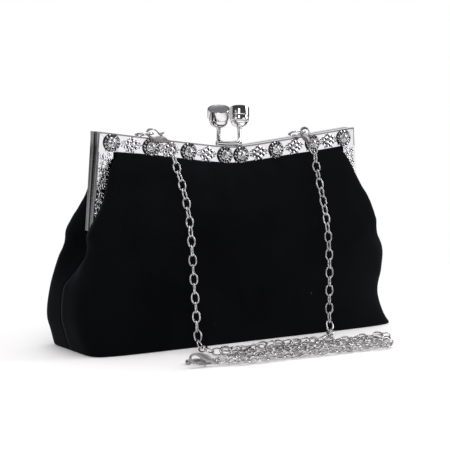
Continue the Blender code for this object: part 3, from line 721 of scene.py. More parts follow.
def pile_runs(hank, lanes, first, last):
    """Runs to and fro along a hank. A lane is (across, height); the first run goes to +X."""
    length = hank["size"][0]
    points = []
    for i, (across, height) in enumerate(lanes):
        way = 1 if i % 2 == 0 else -1
        start = first if i == 0 else -way * (length / 2 - 5.5)
        end = last if i == len(lanes) - 1 else way * (length / 2 - 5.5)
        count = max(4, round(abs(end - start) / 9))
        phase = RANDOM.uniform(0, 6.28)
        for k in range(count + 1):
            along = start + (end - start) * k / count
            sway = 0.75 * math.sin(along / 8.5 + phase) + 0.5 * math.sin(along / 19 + 2 * phase)
            lift = 0.45 * math.sin(along / 6.3 + 1.7 * phase)
            points.append(in_hank(hank, along, across + sway, max(2.7, height + lift)))
        if i < len(lanes) - 1:
            following = lanes[i + 1]
            middle = (across + following[0]) / 2
            height = (height + following[1]) / 2
            points.append(in_hank(hank, way * (length / 2 - 2.6), middle, max(2.7, height)))
    return points


def link_mesh(segments=18, sides=7):
    """One oval wire link: length along X, width along Y."""
    half_x = LINK_LENGTH / 2 - LINK_WIRE / 2
    half_y = LINK_WIDTH / 2 - LINK_WIRE / 2
    points = []
    for i in range(segments):
        a = 2 * math.pi * i / segments
        x = math.copysign(abs(math.cos(a)) ** 0.86, math.cos(a)) * half_x
        y = math.copysign(abs(math.sin(a)) ** 0.86, math.sin(a)) * half_y
        points.append((x, y, 0))
    return sweep(points, LINK_WIRE / 2, sides, closed=True)


LINK = link_mesh()


def chain(name, route, ground=9.0):
    """Links along a route in millimetres, each turned a quarter from the one before.

    Returns the object and the line that the links follow.
    """
    line = smooth_path([Vector(p) * MM for p in route], LINK_PITCH / 8)
    reach = distances(line)
    count = round((reach[-1] - LINK_LENGTH + 2 * LINK_WIRE) / LINK_PITCH) + 1
    first = LINK_LENGTH / 2 - LINK_WIRE
    pitch = (reach[-1] - 2 * first) / (count - 1)
    shape = Shape()
    drift = RANDOM.uniform(-0.2, 0.2)
    for i in range(count):
        s = first + pitch * i
        centre, ahead, behind = (
            Vector([np.interp(v, reach, line[:, k]) for k in range(3)])
            for v in (s, s + LINK_PITCH * 0.45, s - LINK_PITCH * 0.45)
        )
        tangent = (ahead - behind).normalized()
        up = Vector((0.47, 0.88, 0)) if abs(tangent.z) > 0.6 else Vector((0, 0, 1))
        normal = (up - up.dot(tangent) * tangent).normalized()
        lying = centre.z < ground * MM + 1 * MM
        drift += RANDOM.gauss(0, 0.07)
        drift *= 0.97
        turn = (math.radians(45) if lying else math.radians(14)) + (i % 2) * math.pi / 2 + drift
        if lying:
            turn += RANDOM.gauss(0, 0.22)
        side = tangent.cross(normal)
        normal = math.cos(turn) * normal + math.sin(turn) * side
        side = normal.cross(tangent)
        place = moved(*centre) @ Matrix((tangent, side, normal)).transposed().to_4x4()
        shape.add(LINK, place)
    return shape.made(name, [CHAIN], 80), line


def eye_point(place, share=1.0):
    """The far side of a clasp's eye, in millimetres."""
    return tuple(place @ Vector((EYE_CENTRE + share * (EYE_RADIUS - 0.2), 0, 0)) / MM)


def chains():
    """Clasps, the long chain from clasp to clasp and the short chain on the floor."""
    places = clasp_places()
    pieces = {name: clasp(name, place) for name, place in places.items()}
    long_lanes = [(4.4, 2.9), (-4.4, 2.9), (0.0, 3.0), (-2.6, 6.6), (2.4, 6.7)]
    route = [eye_point(places["left"]), *LEFT_DROP]
    route += [in_hank(LONG_HANK, -53.5, 7.0, 3.0)]
    route += pile_runs(LONG_HANK, long_lanes, -47, 12)
    route += [in_hank(LONG_HANK, 17.5, 5.2, 5.8)]
    route += [*reversed(RIGHT_DROP), eye_point(places["right"])]
    long_chain, line = chain("long_chain", route)
    attach(long_chain, "front_half", "chain_nickel",
           "left_chain_drop", "right_chain_drop", "long_chain_hank")

    short_lanes = [(-2.9, 2.9), (2.5, 3.0)]
    route = [eye_point(places["floor"]), in_hank(SHORT_HANK, -60.5, -0.6, 2.9)]
    route += pile_runs(SHORT_HANK, short_lanes, -53, -54)
    route += [in_hank(SHORT_HANK, -59.0, 4.6, 2.8), eye_point(places["end"])]
    short_chain, line = chain("short_chain", route)
    attach(short_chain, "front_half", "chain_nickel", "short_chain_hank")
    for prefix in places:
        dress(prefix + "_clasp_pin", CLASP)


chains()


# ---------------------------------------------------------------- metal frame

def half_frame(name, node_name, side, body):
    """One half as a swept U channel with ribbed outer edges on its legs."""
    outer, inner = [], []
    legs, tops = 12, 60
    for i in range(legs):
        z = LEG_BOTTOM_Z + (FRAME_TOP_Z - LEG_BOTTOM_Z) * i / legs
        outer.append((-leg_outer_x(z), z))
        inner.append((-leg_outer_x(z) + leg_width(z), min(z, FRAME_TOP_Z - FACE_HEIGHT)))
    for i in range(tops + 1):
        x = -FRAME_HALF + 2 * FRAME_HALF * i / tops
        x_in = x * (FRAME_HALF - LEG_WIDTH_TOP) / FRAME_HALF
        outer.append((x, top_z(x)))
        inner.append((x_in, top_z(x_in) - FACE_HEIGHT))
    for i in reversed(range(legs)):
        outer.append((-outer[i][0], outer[i][1]))
        inner.append((-inner[i][0], inner[i][1]))
    # Section: share of the way from the outer to the inner edge, depth from the middle, mark; mark 1 is the
    # ribs, which on the legs carry painted reflection bands, and mark 2 is a thin band of painted shadow
    # along the outer edge.
    ribs = 24
    wall = 0.17
    section = [(1.0, 1.0, 0), (0.97, 1.02, 0), (0.5, 1.02, 0), (0.085, 1.02, 2), (0.03, 0.985, 2)]
    for k in range(ribs + 1):
        t = 0.94 - 1.88 * k / ribs
        section.append((0.030 * math.sin(2.5 * math.pi * t) ** 2 + 0.012 * abs(t) ** 6, t, 1))
    section += [(0.03, -0.985, 2), (0.085, -1.0, 0), (0.5, -1.0, 0), (1.0, -1.0, 0), (1.0, -1 + 2 * wall, 0),
                (0.14, -1 + 2 * wall, 0), (0.14, 1 - 2 * wall, 0), (1.0, 1 - 2 * wall, 0)]
    verts, faces, marks = [], [], []
    for i, ((ox, oz), (ix, iz)) in enumerate(zip(outer, inner)):
        flat = legs <= i < len(outer) - legs
        for share, t, _ in section:
            if flat and 0 < share < 0.085:
                share = 0.0
            x, z = ox + (ix - ox) * share, oz + (iz - oz) * share
            y = side * (HALF_MIDDLE_Y + t * HALF_DEPTH / 2) * depth_share(z)
            verts.append((x, y, z))
    count, width = len(outer), len(section)
    for i in range(count - 1):
        on_leg = i < legs or i >= count - legs - 1
        for k in range(width):
            m = (k + 1) % width
            faces.append([i * width + k, (i + 1) * width + k, (i + 1) * width + m, i * width + m])
            mark = section[k][2]
            marks.append(0 if mark == 1 and not on_leg else mark)
    if side < 0:
        faces = [list(reversed(f)) for f in faces]
    shape = Shape().add((verts, faces))
    shape.marks = marks
    for end in (-1, 1):
        shape.add(lug(side, end * LUG_X[side]))
        if side < 0:
            # A thin raised sliver in painted shadow draws each mitre line on the front half.
            mitre = [on_face(end * x, z, -0.28 * MM).translation
                     for x, z in mm([(99.2, 144.0), (96.4, 141.0), (94.4, 138.8)])]
            shape.add(sweep(mitre, 0.16 * MM, 6), mark=2)
    obj = shape.made(name, [NICKEL, SIDE_METAL_PAINTED_LIGHT, EDGE_PAINTED_SHADOW_LINE], 24)
    attach(obj, body, "polished_nickel", node_name)


def lug(side, x):
    """A rounded hinge tongue that comes down from a leg round the rivet."""
    radius, thickness, rise = 3.0 * MM, 1.0 * MM, 6.5 * MM
    outline = []
    for k in range(15):
        angle = math.pi * (1 + k / 14)
        outline.append((radius * math.cos(angle), radius * math.sin(angle)))
    outline += [(radius, rise), (-0.3 * MM, rise), (-radius, 1.5 * MM)]
    if side < 0:
        outline = [(-y, z) for y, z in reversed(outline)]
    count = len(outline)
    verts = [(x + shift, y, HINGE_Z + z) for shift in (-thickness / 2, thickness / 2) for y, z in outline]
    faces = [list(reversed(range(count))), list(range(count, 2 * count))]
    faces += [[k, (k + 1) % count, (k + 1) % count + count, k + count] for k in range(count)]
    return verts, faces


# ---------------------------------------------------------------- flowers and trim

def on_face(x, z, y_lift=0.0):
    """Matrix that stands local +Z out of the frame's front face at a point."""
    y = -((HALF_MIDDLE_Y + HALF_DEPTH / 2) * depth_share(z) + 0.25 * MM) - y_lift
    return moved(x, y, z) @ turned(math.pi / 2, "X")


def stone(radius, height, sides=9):
    """A cut stone: a table and two rings of flat facets."""
    return lathe([(0, 0), (radius, 0), (radius * 0.97, height * 0.28), (radius * 0.66, height * 0.78),
                  (radius * 0.42, height), (0, height)][::-1], sides)


def tips(shape, place, points, radii, angles):
    """Small leaves that hang below a flower."""
    leaf = sweep(mm(points), mm(radii))
    for angle in angles:
        shape.add(leaf, place @ turned(math.radians(angle)))


def big_flower(number):
    """A daisy: a cup painted dark as shade, ring of petals, beaded ring and a faceted dome, with tips below.
    """
    node_name = "big_flower_%d" % number
    low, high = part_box(node_name)
    centre = (low + high) / 2
    place = on_face(centre.x, centre.z)
    spin = turned(RANDOM.uniform(0, 0.5))
    shape = Shape()
    cup = [(0, 0), (5.75, 0), (6.0, 0.35), (5.8, 0.8), (5.5, 0.55), (3.6, 0.45), (0, 0.45)]
    bead = [(0, 0.4), (3.25, 0.4), (3.55, 0.9), (3.5, 1.4), (3.25, 1.6), (3.0, 1.4), (2.95, 0.9), (0, 0.85)]
    dome = [(0, 0.8), (2.75, 0.8), (2.7, 1.25), (2.05, 1.8), (1.15, 2.15), (0, 2.2)]
    petal = mm([(3.95, 0, 0.75), (4.5, 0, 1.25), (5.05, 0, 1.2), (5.5, 0, 0.75)])
    petal_radii = mm([(0.35, 0.45), (0.55, 0.78), (0.55, 0.88), (0.35, 0.62)])
    petals, beads = 14, 8
    # The cup under the petals is in painted shade.
    shape.add(lathe(mm(cup)[::-1], 48), place, 1)
    for k in range(petals):
        shape.add(sweep(petal, petal_radii), place @ spin @ turned(2 * math.pi * k / petals))
    shape.add(lathe(mm(bead)[::-1], 40), place)
    shape.add(lathe(mm(dome)[::-1], 9), place @ spin, 2)
    for k in range(beads):
        angle = 2 * math.pi * (k + 0.5) / beads
        off = moved(2.62 * MM * math.cos(angle), 2.62 * MM * math.sin(angle), 1.15 * MM)
        shape.add(stone(0.42 * MM, 0.6 * MM, 6), place @ spin @ off)
    tips(shape, place, [(5.5, 0, 0.35), (6.2, 0, 0.5), (6.8, 0, 0.25)],
         [(0.3, 0.45), (0.45, 0.62), (0.25, 0.3)], (-128, -104, -78, -54))
    obj = shape.made("rhinestone_daisy_%d" % number, [NICKEL, RECESS_PAINTED_SHADE, STONE], 28)
    attach(obj, "front_half", "crystal_flowers", node_name)


def open_petal(shape, turn, radius, wire, lift):
    """A wire ring with a floor painted dark as the shade in its hole."""
    shape.add(ring((0, 0), (radius * 1.12, radius), wire, 16, 7), turn @ moved(0, 0, lift))
    # The ring's floor: a thin disc in painted shade.
    floor_profile = [(0, lift - 0.1 * MM), (radius * 0.95, lift - 0.1 * MM), (radius * 0.95, 0), (0, 0)]
    shape.add(lathe(floor_profile, 12), turn, 1)


def small_flower(number):
    """An open flower: ring petals round a stone, dots that link it to its neighbours, tips below."""
    node_name = "small_flower_%d" % number
    low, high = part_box(node_name)
    centre = (low + high) / 2
    slope = math.atan2(top_z(centre.x + MM) - top_z(centre.x - MM), 2 * MM)
    place = on_face(centre.x, centre.z) @ turned(slope)
    shape = Shape()
    for k in range(6):
        turn = place @ turned(math.pi / 6 + math.pi * k / 3)
        open_petal(shape, turn @ moved(3.35 * MM, 0, 0), 1.18 * MM, 0.46 * MM, 0.6 * MM)
    open_petal(shape, place, 1.45 * MM, 0.5 * MM, 0.95 * MM)
    shape.add(stone(0.8 * MM, 0.7 * MM, 7), place @ moved(0, 0, 0.85 * MM), 2)
    for way in (-1, 1):
        for across, up, size in mm([(5.7, 1.5, 0.5), (7.2, 0.3, 0.42), (5.9, -1.4, 0.55)]):
            open_petal(shape, place @ moved(way * across, up, 0), size, 0.27 * MM, 0.3 * MM)
        stem = mm([(way * 4.2, 0, 0.35), (way * 6.6, 0.1, 0.35)])
        shape.add(sweep(stem, 0.3 * MM, 6), place)
    tips(shape, place, [(4.6, 0, 0.5), (5.5, 0, 0.5), (6.2, 0, 0.3)],
         [(0.35, 0.4), (0.45, 0.6), (0.25, 0.3)], (-120, -62))
    obj = shape.made("open_flower_%d" % number, [NICKEL, RECESS_PAINTED_SHADE, STONE], 35)
    attach(obj, "front_half", "crystal_flowers", node_name)


def trim_width(z):
    """Width of a leg's openwork at a height."""
    share = min(max((z - LEG_BOTTOM_Z) / (131 * MM - LEG_BOTTOM_Z), 0), 1)
    return (2.6 + 7.4 * share ** 1.3) * MM


def trim_x(end, z, inward):
    """Where a point of the openwork is, from its distance inward of the trim's outer edge."""
    return end * (leg_outer_x(z) - 0.9 * MM - inward)


def trim_plate(end, high, low):
    """The scalloped plate behind the flowers."""
    rows = 28
    outer_edge, inner_edge = [], []
    for i in range(rows + 1):
        z = high - (high - low) * i / rows
        wave = (0.9 * abs(math.sin(math.pi * i / 7)) - 0.4) * MM
        outer_edge.append((trim_x(end, z, 0), z))
        inner_edge.append((trim_x(end, z, trim_width(z) + wave), z))
    outline = outer_edge + inner_edge[::-1]
    verts = [tuple(on_face(x, z, lift).translation) for lift in (0.55 * MM, 0.0) for x, z in outline]
    count = len(outline)
    faces = []
    for i in range(rows):
        quad = [i, i + 1, count - 2 - i, count - 1 - i]
        faces += [quad, [k + count for k in reversed(quad)]]
    for k in range(count):
        m = (k + 1) % count
        faces.append([m, k, k + count, m + count])
    return verts, [f[::-1] for f in faces] if end > 0 else faces


def plate_flowers(shape, end, high, low):
    """Rows of five-petalled flowers on the plate, each row with a tip that overhangs its inner edge."""
    level, index = high - 2.6 * MM, 0
    while level > low - 1 * MM:
        width = trim_width(level)
        columns = 2 if width > 5.6 * MM else 1
        for column in range(columns):
            share = 0.5 if columns == 1 else 0.27 + 0.48 * column
            x, z = trim_x(end, level, width * share), level + (0.9 * MM if column else -0.7 * MM)
            spot = on_face(x, z, 0.5 * MM) @ turned(0.7 * index + column)
            size = 1.35 * MM if index % 2 == column else 0.95 * MM
            open_petal(shape, spot, size * 0.62, 0.30 * MM, 0.45 * MM)
            for k in range(5):
                turn = spot @ turned(2 * math.pi * k / 5) @ moved(size * 1.25, 0, 0)
                open_petal(shape, turn, size * 0.36, 0.22 * MM, 0.3 * MM)
        tip = on_face(trim_x(end, level, width + 0.3 * MM), level - 1.6 * MM, 0.35 * MM)
        tip = tip @ turned(math.pi / 2 + end * math.pi / 2 + end * 0.35)
        points = mm([(-0.6, 0, 0), (0.6, 0, 0.25), (1.7, 0, 0)])
        shape.add(sweep(points, mm([(0.3, 0.4), (0.4, 0.75), (0.2, 0.25)])), tip)
        level -= 4.1 * MM
        index += 1


def loose_petals(shape, end, high, low):
    """Petals and small rings scattered over the velvet below the plate."""
    level = high + 1 * MM
    while level > low:
        width = trim_width(level) + 1.2 * MM
        for column in range(3 if width > 5 * MM else 2):
            across = width * (0.15 + 0.33 * column) + RANDOM.uniform(-0.5, 0.5) * MM
            spot = on_face(trim_x(end, level, across), level + RANDOM.uniform(-0.9, 0.9) * MM, 0.35 * MM)
            spot = spot @ turned(RANDOM.uniform(0, math.pi))
            if RANDOM.random() < 0.3:
                open_petal(shape, spot, RANDOM.uniform(0.5, 0.85) * MM, 0.26 * MM, 0.3 * MM)
            else:
                reach = RANDOM.uniform(0.6, 1.1) * MM
                points = [(-reach, 0, 0), (0, 0, 0.3 * MM), (reach, 0, 0)]
                shape.add(sweep(points, mm([(0.2, 0.25), (0.35, 0.5), (0.2, 0.2)]), 7), spot)
        level -= 2.5 * MM


def leg_trim(side_name, end):
    """Openwork on a front leg: a scalloped plate of flowers that breaks up into loose petals."""
    high, low, split = 131.5 * MM, 82 * MM, 101 * MM
    shape = Shape().add(trim_plate(end, high, split))
    plate_flowers(shape, end, high, split)
    loose_petals(shape, end, split, low)
    for offset in (0.3, 0.75):
        line = []
        for i in range(15):
            z = low + (split + 2 * MM - low) * i / 14
            wave = 0.45 * MM * math.sin(i * 2.1 + 5 * offset)
            x = trim_x(end, z, offset * trim_width(z) + wave)
            line.append(tuple(on_face(x, z, 0.25 * MM).translation))
        shape.add(sweep(smooth_path(line, 1.2 * MM), 0.27 * MM, 7))
    obj = shape.made(side_name + "_leg_openwork", [NICKEL, RECESS_PAINTED_SHADE], 40)
    attach(obj, "front_half", "polished_nickel", side_name + "_leg_trim")


# ---------------------------------------------------------------- kiss lock, loops and rivets

def knob_arm(prefix, side, body):
    """A bent arm along a frame half's top and up to its cup, with a small foot block."""
    y = side * HALF_MIDDLE_Y * depth_share(top_z(0))
    lift = ARM_RADIUS + 0.3 * MM
    foot, cup = side * ARM_FOOT_X, -side * CUP_X
    bend = 3.2 * MM
    run = [foot + (cup - foot) * i / 6 for i in range(6)]
    points = [(x, y, top_z(x) + lift) for x in run]
    base = Vector((cup, -side * CUP_BASE[0], CUP_BASE[1] - 0.3 * MM))
    corner = Vector((cup + ARM_SPLAY * (1 if side > 0 else -1), y, top_z(cup) + lift))
    along = Vector((math.copysign(1, foot - cup), 0, 0))
    rise = (base - corner).normalized()
    for i in range(5):
        angle = math.pi / 2 * i / 4
        points.append(corner + along * bend * (1 - math.sin(angle)) + rise * bend * (1 - math.cos(angle)))
    points += [corner.lerp(base, 0.7), base]
    shape = Shape().add(sweep(smooth_path(points, 0.8 * MM), ARM_RADIUS, 20))
    block = [(foot + along.x * d * MM, y, top_z(foot) + lift) for d in (0.4, 0.0, -0.8, -1.0)]
    shape.add(sweep(block, mm([(1.2, 1.2), (1.62, 1.62), (1.62, 1.62), (1.2, 1.2)]), 20))
    obj = shape.made(prefix + "_polished_arm", [MIRROR], 50)
    attach(obj, body, "polished_nickel", prefix + "_knob_arm")


def knob_cup(prefix, side, body):
    """A goblet cup and the satin disc that closes it; the rear one has a wider sleeve."""
    top = CUP_HEIGHT / MM
    bowl = 6.7
    r = 7.75 if side > 0 else 7.0
    profile = [
        (0, top - 1.1), (r - 0.75, top - 1.1), (r - 0.65, top - 0.15), (r - 0.45, top), (r - 0.15, top),
        (r, top - 0.2), (r, top - 0.8), (r, 8.4), (r - 0.1, 8.1), (bowl + 0.25, 7.95), (bowl, 7.6),
        (bowl, 5.6), (bowl - 0.25, 4.6), (bowl - 0.8, 3.5), (bowl - 1.7, 2.4), (bowl - 2.9, 1.6),
        (2.6, 0.9), (2.0, 0.3), (1.6, -0.6), (1.45, -1.2), (0, -1.2),
    ]
    place = moved(-side * CUP_X, -side * CUP_BASE[0], CUP_BASE[1])
    place = place @ turned(CUP_TURN) @ turned(side * CUP_LEAN, "X")
    obj = Shape().add(lathe(mm(profile), 72), place).made(prefix + "_goblet_cup", [MIRROR], 34)
    attach(obj, body, "polished_nickel", prefix + "_knob_cup")
    edge = r - 0.8
    dish = [(0, top - 0.62)]
    dish += [(edge * k / 8, top - 0.62 + 0.40 * (k / 8) ** 2) for k in range(1, 8)]
    dish += [(edge - 0.1, top - 0.12), (edge, top - 0.4), (edge, top - 0.95), (0, top - 0.95)]
    obj = Shape().add(lathe(mm(dish), 64), place).made(prefix + "_satin_disc", [SATIN_METAL], 34)
    attach(obj, body, "cup_disc", prefix + "_knob_disc")


def chain_loop(side_name):
    """The wire loop that a frame clasp hangs on."""
    start = math.radians(-90)
    turn = 2 * math.pi - 2.3 * LOOP_WIRE / LOOP_RADIUS
    points = [loop_point(side_name, start + turn * i / 40) for i in range(41)]
    x, _, top = points[0]
    stem = [(x, 0, top - d * MM) for d in (8, 4, 1)]
    obj = Shape().add(sweep([*stem, *points], LOOP_WIRE, 10)).made(side_name + "_wire_loop", [NICKEL], 60)
    attach(obj, "front_half", "polished_nickel", side_name + "_chain_loop")


def hinge_rivet(side_name, end):
    """A rivet through both lugs, with a domed head at each end."""
    inner, outer = 102.2, 105.1
    profile = [(0, outer + 0.95), (0.9, outer + 0.88), (1.7, outer + 0.62), (2.15, outer + 0.2), (2.2, outer),
               (1.15, outer), (1.15, inner), (2.0, inner), (1.9, inner - 0.35), (1.2, inner - 0.6),
               (0, inner - 0.65)]
    place = moved(0, 0, HINGE_Z) @ turned(end * math.pi / 2, "Y")
    obj = Shape().add(lathe(mm(profile), 28), place).made(side_name + "_domed_rivet", [NICKEL], 40)
    attach(obj, "front_half", "polished_nickel", side_name + "_hinge_rivet")


def metalwork():
    """Everything on the frame."""
    half_frame("front_channel_frame", "front_frame", -1, "front_half")
    half_frame("rear_channel_frame", "rear_frame", 1, "rear_half")
    for number in range(1, 9):
        big_flower(number)
    for number in range(1, 7):
        small_flower(number)
    for side_name, end in (("left", -1), ("right", 1)):
        leg_trim(side_name, end)
        chain_loop(side_name)
        hinge_rivet(side_name, end)
    for prefix, side, body in (("front", -1, "front_half"), ("rear", 1, "rear_half")):
        knob_arm(prefix, side, body)
        knob_cup(prefix, side, body)
        dress(prefix + "_channel_cord", PAPER)


metalwork()


# ---------------------------------------------------------------- velvet and lining

# Lower pouch: height, left and right half widths, half depth, squareness of the section.
POUCH_ROWS = [
    (0, 119.0, 124.2, 31.2, 9.0),
    (9, 122.0, 119.2, 31.2, 7.0),
    (24, 124.8, 115.0, 31.8, 6.0),
    (40, 123.6, 118.0, 32.2, 5.4),
    (55, 120.4, 120.6, 31.8, 5.0),
    (66, 117.4, 118.0, 31.2, 4.4),
    (75, 114.2, 113.5, 30.4, 3.8),
]
LEFT_SKEW = 0.045
BOTTOM_CORNER = 1.4 * MM
# Each side seam sinks in from a height up to the hinge, and shows as a groove only high up.
SINK_Z = 44 * MM
SINK_HALF = 100.5 * MM
SINK_REACH = 10 * MM
SEAM_SHOWS_Z = 62 * MM
SEAM_FADE = 26 * MM
# Mouth: share of the rise to the frame, left and right half widths, half depth, side edge's depth.
MOUTH_ROWS = [
    (0.0, 116.6, 115.0, 31.0, 10.0),
    (0.14, 114.0, 111.8, 30.2, 10.0),
    (0.27, 109.6, 108.6, 28.6, 10.2),
    (0.40, 103.6, 104.4, 26.6, 10.4),
    (0.50, 100.2, 100.5, 24.6, 10.4),
    (0.60, 98.0, 97.6, 22.4, 10.4),
    (0.80, 94.0, 92.6, 17.2, 10.2),
    (0.92, 89.4, 89.2, 12.0, 8.4),
    (1.0, 88.4, 88.4, 6.2, 4.6),
]
RIM_Z = 68 * MM
MOUTH_Z = 132 * MM
JOIN_LOW_Z, JOIN_HIGH_Z = 60 * MM, 80 * MM
# Heights for cloth that crosses the hinge, lower and upper; only the lower one is used, to end the parts
# behind the rear velvet.
HEM = ((0, 0, 50 * MM), (0, 0, 92 * MM))
COLUMNS = 121
MOUTH_TURN = math.radians(110)


def power(value, exponent):
    """Signed power, for rounded-square sections."""
    return math.copysign(abs(value) ** exponent, value)


def low_section(z, side, inset):
    """Half the pouch's section at a height, from seam to seam; the left side is wider at the rear."""
    left, right, half_depth, square = interpolate(POUCH_ROWS, z / MM)
    b = half_depth * MM - inset
    points = []
    for i in range(161):
        angle = -math.pi / 2 + math.pi * i / 160
        way = math.sin(angle)
        a = (left if way < 0 else right) * MM - inset
        x = a * power(way, 2 / square)
        y = -b * power(math.cos(angle), 2 / square)
        if way < 0:
            x *= 1 + LEFT_SKEW * side * abs(y) / (30 * MM)
        sink = min(max((z - SINK_Z) / (HINGE_Z - SINK_Z), 0), 1) * (a + inset - SINK_HALF)
        x -= math.copysign(sink * math.exp(-(y / SINK_REACH) ** 2), x) * min(1, abs(x) / (90 * MM))
        points.append((x, y))
    return evenly(points, COLUMNS)


def high_section(share, inset):
    """Half the mouth's section, its side edges turned back to the frame's channel."""
    left, right, half_depth, hold = interpolate(MOUTH_ROWS, share)
    b, hold = half_depth * MM - inset, hold * MM
    middle = 0.5 * (b + hold) if b > hold else b
    points = []
    for i in range(121):
        angle = -MOUTH_TURN + 2 * MOUTH_TURN * i / 120
        a = (left if angle < 0 else right) * MM - inset
        forward = power(math.cos(angle), 2 / 3)
        if forward >= 0:
            y = middle + (b - middle) * forward
        else:
            y = middle + (middle - hold) * forward / abs(power(math.cos(MOUTH_TURN), 2 / 3))
        points.append((a * power(math.sin(angle), 2 / 3), -y))
    z = RIM_Z + share * (MOUTH_Z - RIM_Z)
    leg = leg_outer_x(z) - leg_width(z) - 1.2 * MM - inset
    lip = -(HALF_MIDDLE_Y * depth_share(z) + 0.3 * inset) * step(share, 0.05, 0.35)
    ends = []
    for x, y in (points[0], points[-1]):
        way = math.copysign(1, x)
        goal = way * leg
        ends.append([(x + (goal - x) * 0.55, y * 0.86), (x + (goal - x) * 0.95, y * 0.6 + lip * 0.2),
                     (goal, lip)])
    return evenly(ends[0][::-1] + points + ends[1], COLUMNS)


def skin_grid(side, inset, rise):
    """Rows of points for one half of the bag, from the bottom's middle line up to the frame."""
    rows = []
    base = low_section(0, side, inset + BOTTOM_CORNER / 2)
    bottom = 0.2 * MM + inset
    for share in (0.0, 0.25, 0.5, 0.75, 0.9):
        rows.append([(x * (0.78 + 0.22 * share), y * share, bottom) for x, y in base])
    for turn in (0, 25, 50, 72, 90):
        angle = math.radians(turn)
        z = bottom + BOTTOM_CORNER * (1 - math.cos(angle))
        draw = inset + BOTTOM_CORNER / 2 * (1 - math.sin(angle))
        rows.append([(x, y, z) for x, y in low_section(z, side, draw)])
    start, low_rows, mouth_rows = rows[-1][0][2], 20, 28
    for i in range(1, low_rows + 1):
        z = start + (JOIN_LOW_Z - start) * i / low_rows
        rows.append([(x, y, z) for x, y in low_section(z, side, inset)])
    for i in range(1, mouth_rows + 1):
        level = JOIN_LOW_Z + (MOUTH_Z * rise + (1 - rise) * JOIN_LOW_Z - JOIN_LOW_Z) * i / mouth_rows
        share = max(0.0, (level - RIM_Z) / (MOUTH_Z - RIM_Z))
        low = low_section(min(level, HINGE_Z), side, inset)
        high = high_section(min(share, 1.0), inset)
        row = []
        for x, y in low + (high - low) * step(level, JOIN_LOW_Z, JOIN_HIGH_Z):
            edge_z = top_z(x) - FACE_HEIGHT + 1.2 * MM
            row.append((x, y, level + (edge_z - MOUTH_Z) * step(level, RIM_Z, MOUTH_Z)))
        rows.append(row)
    return np.array(rows)


def grid_normals(grid):
    """Outward unit normals of a grid of points."""
    along = np.gradient(grid, axis=1)
    up = np.gradient(grid, axis=0)
    normal = np.cross(along, up)
    size = np.linalg.norm(normal, axis=2)[..., None]
    return normal / np.maximum(size, 1e-12)


def velvet_relief(grid, side):
    """How far each point of the velvet stands out: soft billows, gathers and drag folds."""
    relief = np.zeros(grid.shape[:2])
    for i in range(grid.shape[0]):
        for k in range(grid.shape[1]):
            x, y, z = grid[i, k] / MM
            seed = 0 if side < 0 else 50
            depth = -side * y / 30
            broad = noise.noise(Vector((x / 46, z / 38, depth)))
            small = noise.noise(Vector((x / 15, z / 17, depth + 9)))
            below = max(0.0, (top_z(x * MM) - FACE_HEIGHT) / MM - z)
            gathers = math.exp(-(below / 20) ** 2) * math.sin(x / 3.1 + 1.3 * math.sin(x / 23) + seed)
            ends = math.exp(-(max(0.0, 104 - abs(x)) / 20) ** 2)
            drag = ends * math.sin(z / 4.6 + 0.05 * abs(x)) * math.exp(-((z - 92) / 26) ** 2)
            fold_line = 75 - (abs(x) - 96) * 1.9
            fold = math.exp(-((z - fold_line) / 7) ** 2) * math.exp(-(max(0.0, 112 - abs(x)) / 16) ** 2)
            settled = step(z, 2, 22)
            relief[i, k] = settled * (
                0.3 + 0.8 * broad + 0.28 * small + 0.30 * gathers * step(below, 0.5, 5)
                + 0.32 * drag + 0.4 * fold * step(84 - z, 0, 10))
    return relief * MM


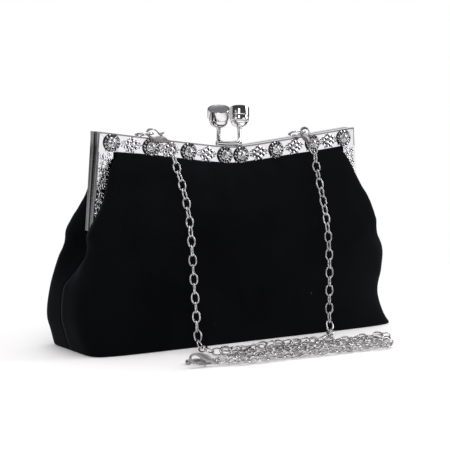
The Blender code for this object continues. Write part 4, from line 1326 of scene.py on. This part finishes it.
def skin(name, side, inset, thickness, made, relief, rise, patch=None):
    """A half of the bag as a thick sheet; side is -1 for the front and +1 for the rear.

    A patch (half width, lowest, highest) keeps only that part of it.
    """
    grid = skin_grid(side, inset, rise)
    if relief:
        edge = np.minimum(np.arange(grid.shape[1]), np.arange(grid.shape[1])[::-1]) / 4.0
        seam = np.clip(edge, 0, 1)[None, :] ** 0.6
        seam = seam + (1 - seam) * np.clip((SEAM_SHOWS_Z - grid[..., 2]) / SEAM_FADE, 0, 1)
        low = (grid[..., 2] < HINGE_Z).astype(float)
        out = velvet_relief(grid, side) * seam - 0.25 * MM * (1 - seam) * low
        grid += grid_normals(grid) * out[..., None]
        grid[..., 2] = np.maximum(grid[..., 2], 0.2 * MM)
    if side > 0:
        grid[..., 1] *= -1
    if patch:
        half, lowest, highest = patch
        level = grid[:, grid.shape[1] // 2]
        wanted = (level[:, 2] >= lowest) & (level[:, 2] <= highest) & (np.abs(level[:, 1]) > 10 * MM)
        grid = grid[wanted]
        grid = grid[:, np.abs(grid[len(grid) // 2, :, 0]) <= half]
    rows, columns = grid.shape[:2]
    faces = []
    for i in range(rows - 1):
        for k in range(columns - 1):
            quad = [i * columns + k, i * columns + k + 1, (i + 1) * columns + k + 1, (i + 1) * columns + k]
            faces.append(quad if side < 0 else quad[::-1])
    obj = Shape().add((grid.reshape(-1, 3), faces)).made(name, [made], 70)
    solid = obj.modifiers.new("thickness", "SOLIDIFY")
    solid.thickness = thickness
    solid.offset = -1
    return obj


def soft_parts():
    """Velvet, stiffening and lining, front and rear."""
    layers = [("velvet", 0.0, 1.3 * MM, VELVET, "black_velvet", 1.0, "velvet_pouch"),
              ("lining", 4.6 * MM, 0.6 * MM, SATIN, "satin_lining", 0.95, "lining_pouch")]
    for kind, inset, thickness, made, slot, rise, pouch in layers:
        front = skin("front_" + kind, -1, inset, thickness, made, made is VELVET, rise)
        attach(front, "front_half", slot, pouch, "front_%s_panel" % kind)
        rear = skin("rear_" + kind, 1, inset, thickness, made, made is VELVET, rise)
        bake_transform(rear)
        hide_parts("rear_%s_panel" % kind)
    # What lies behind the rear velvet ends 2 mm below the lower hem height.
    fold_z = HEM[0][2] - 2 * MM
    low_z = 8 * MM
    for prefix, side, high_z in (("front", -1, 66 * MM), ("rear", 1, fold_z)):
        patch = (108 * MM, low_z, high_z)
        felt = skin(prefix + "_felt", side, 2.6 * MM, 1.2 * MM, FELT, False, 1.0, patch)
        attach(felt, "front_half", "board", prefix + "_stiffener")
    patch = (55 * MM, low_z, fold_z)
    pocket = skin("card_pocket", 1, 5.6 * MM, 0.6 * MM, SATIN, False, 1.0, patch)
    attach(pocket, "front_half", "satin_lining", "slip_pocket")
    dress("base_board", BOARD)


soft_parts()
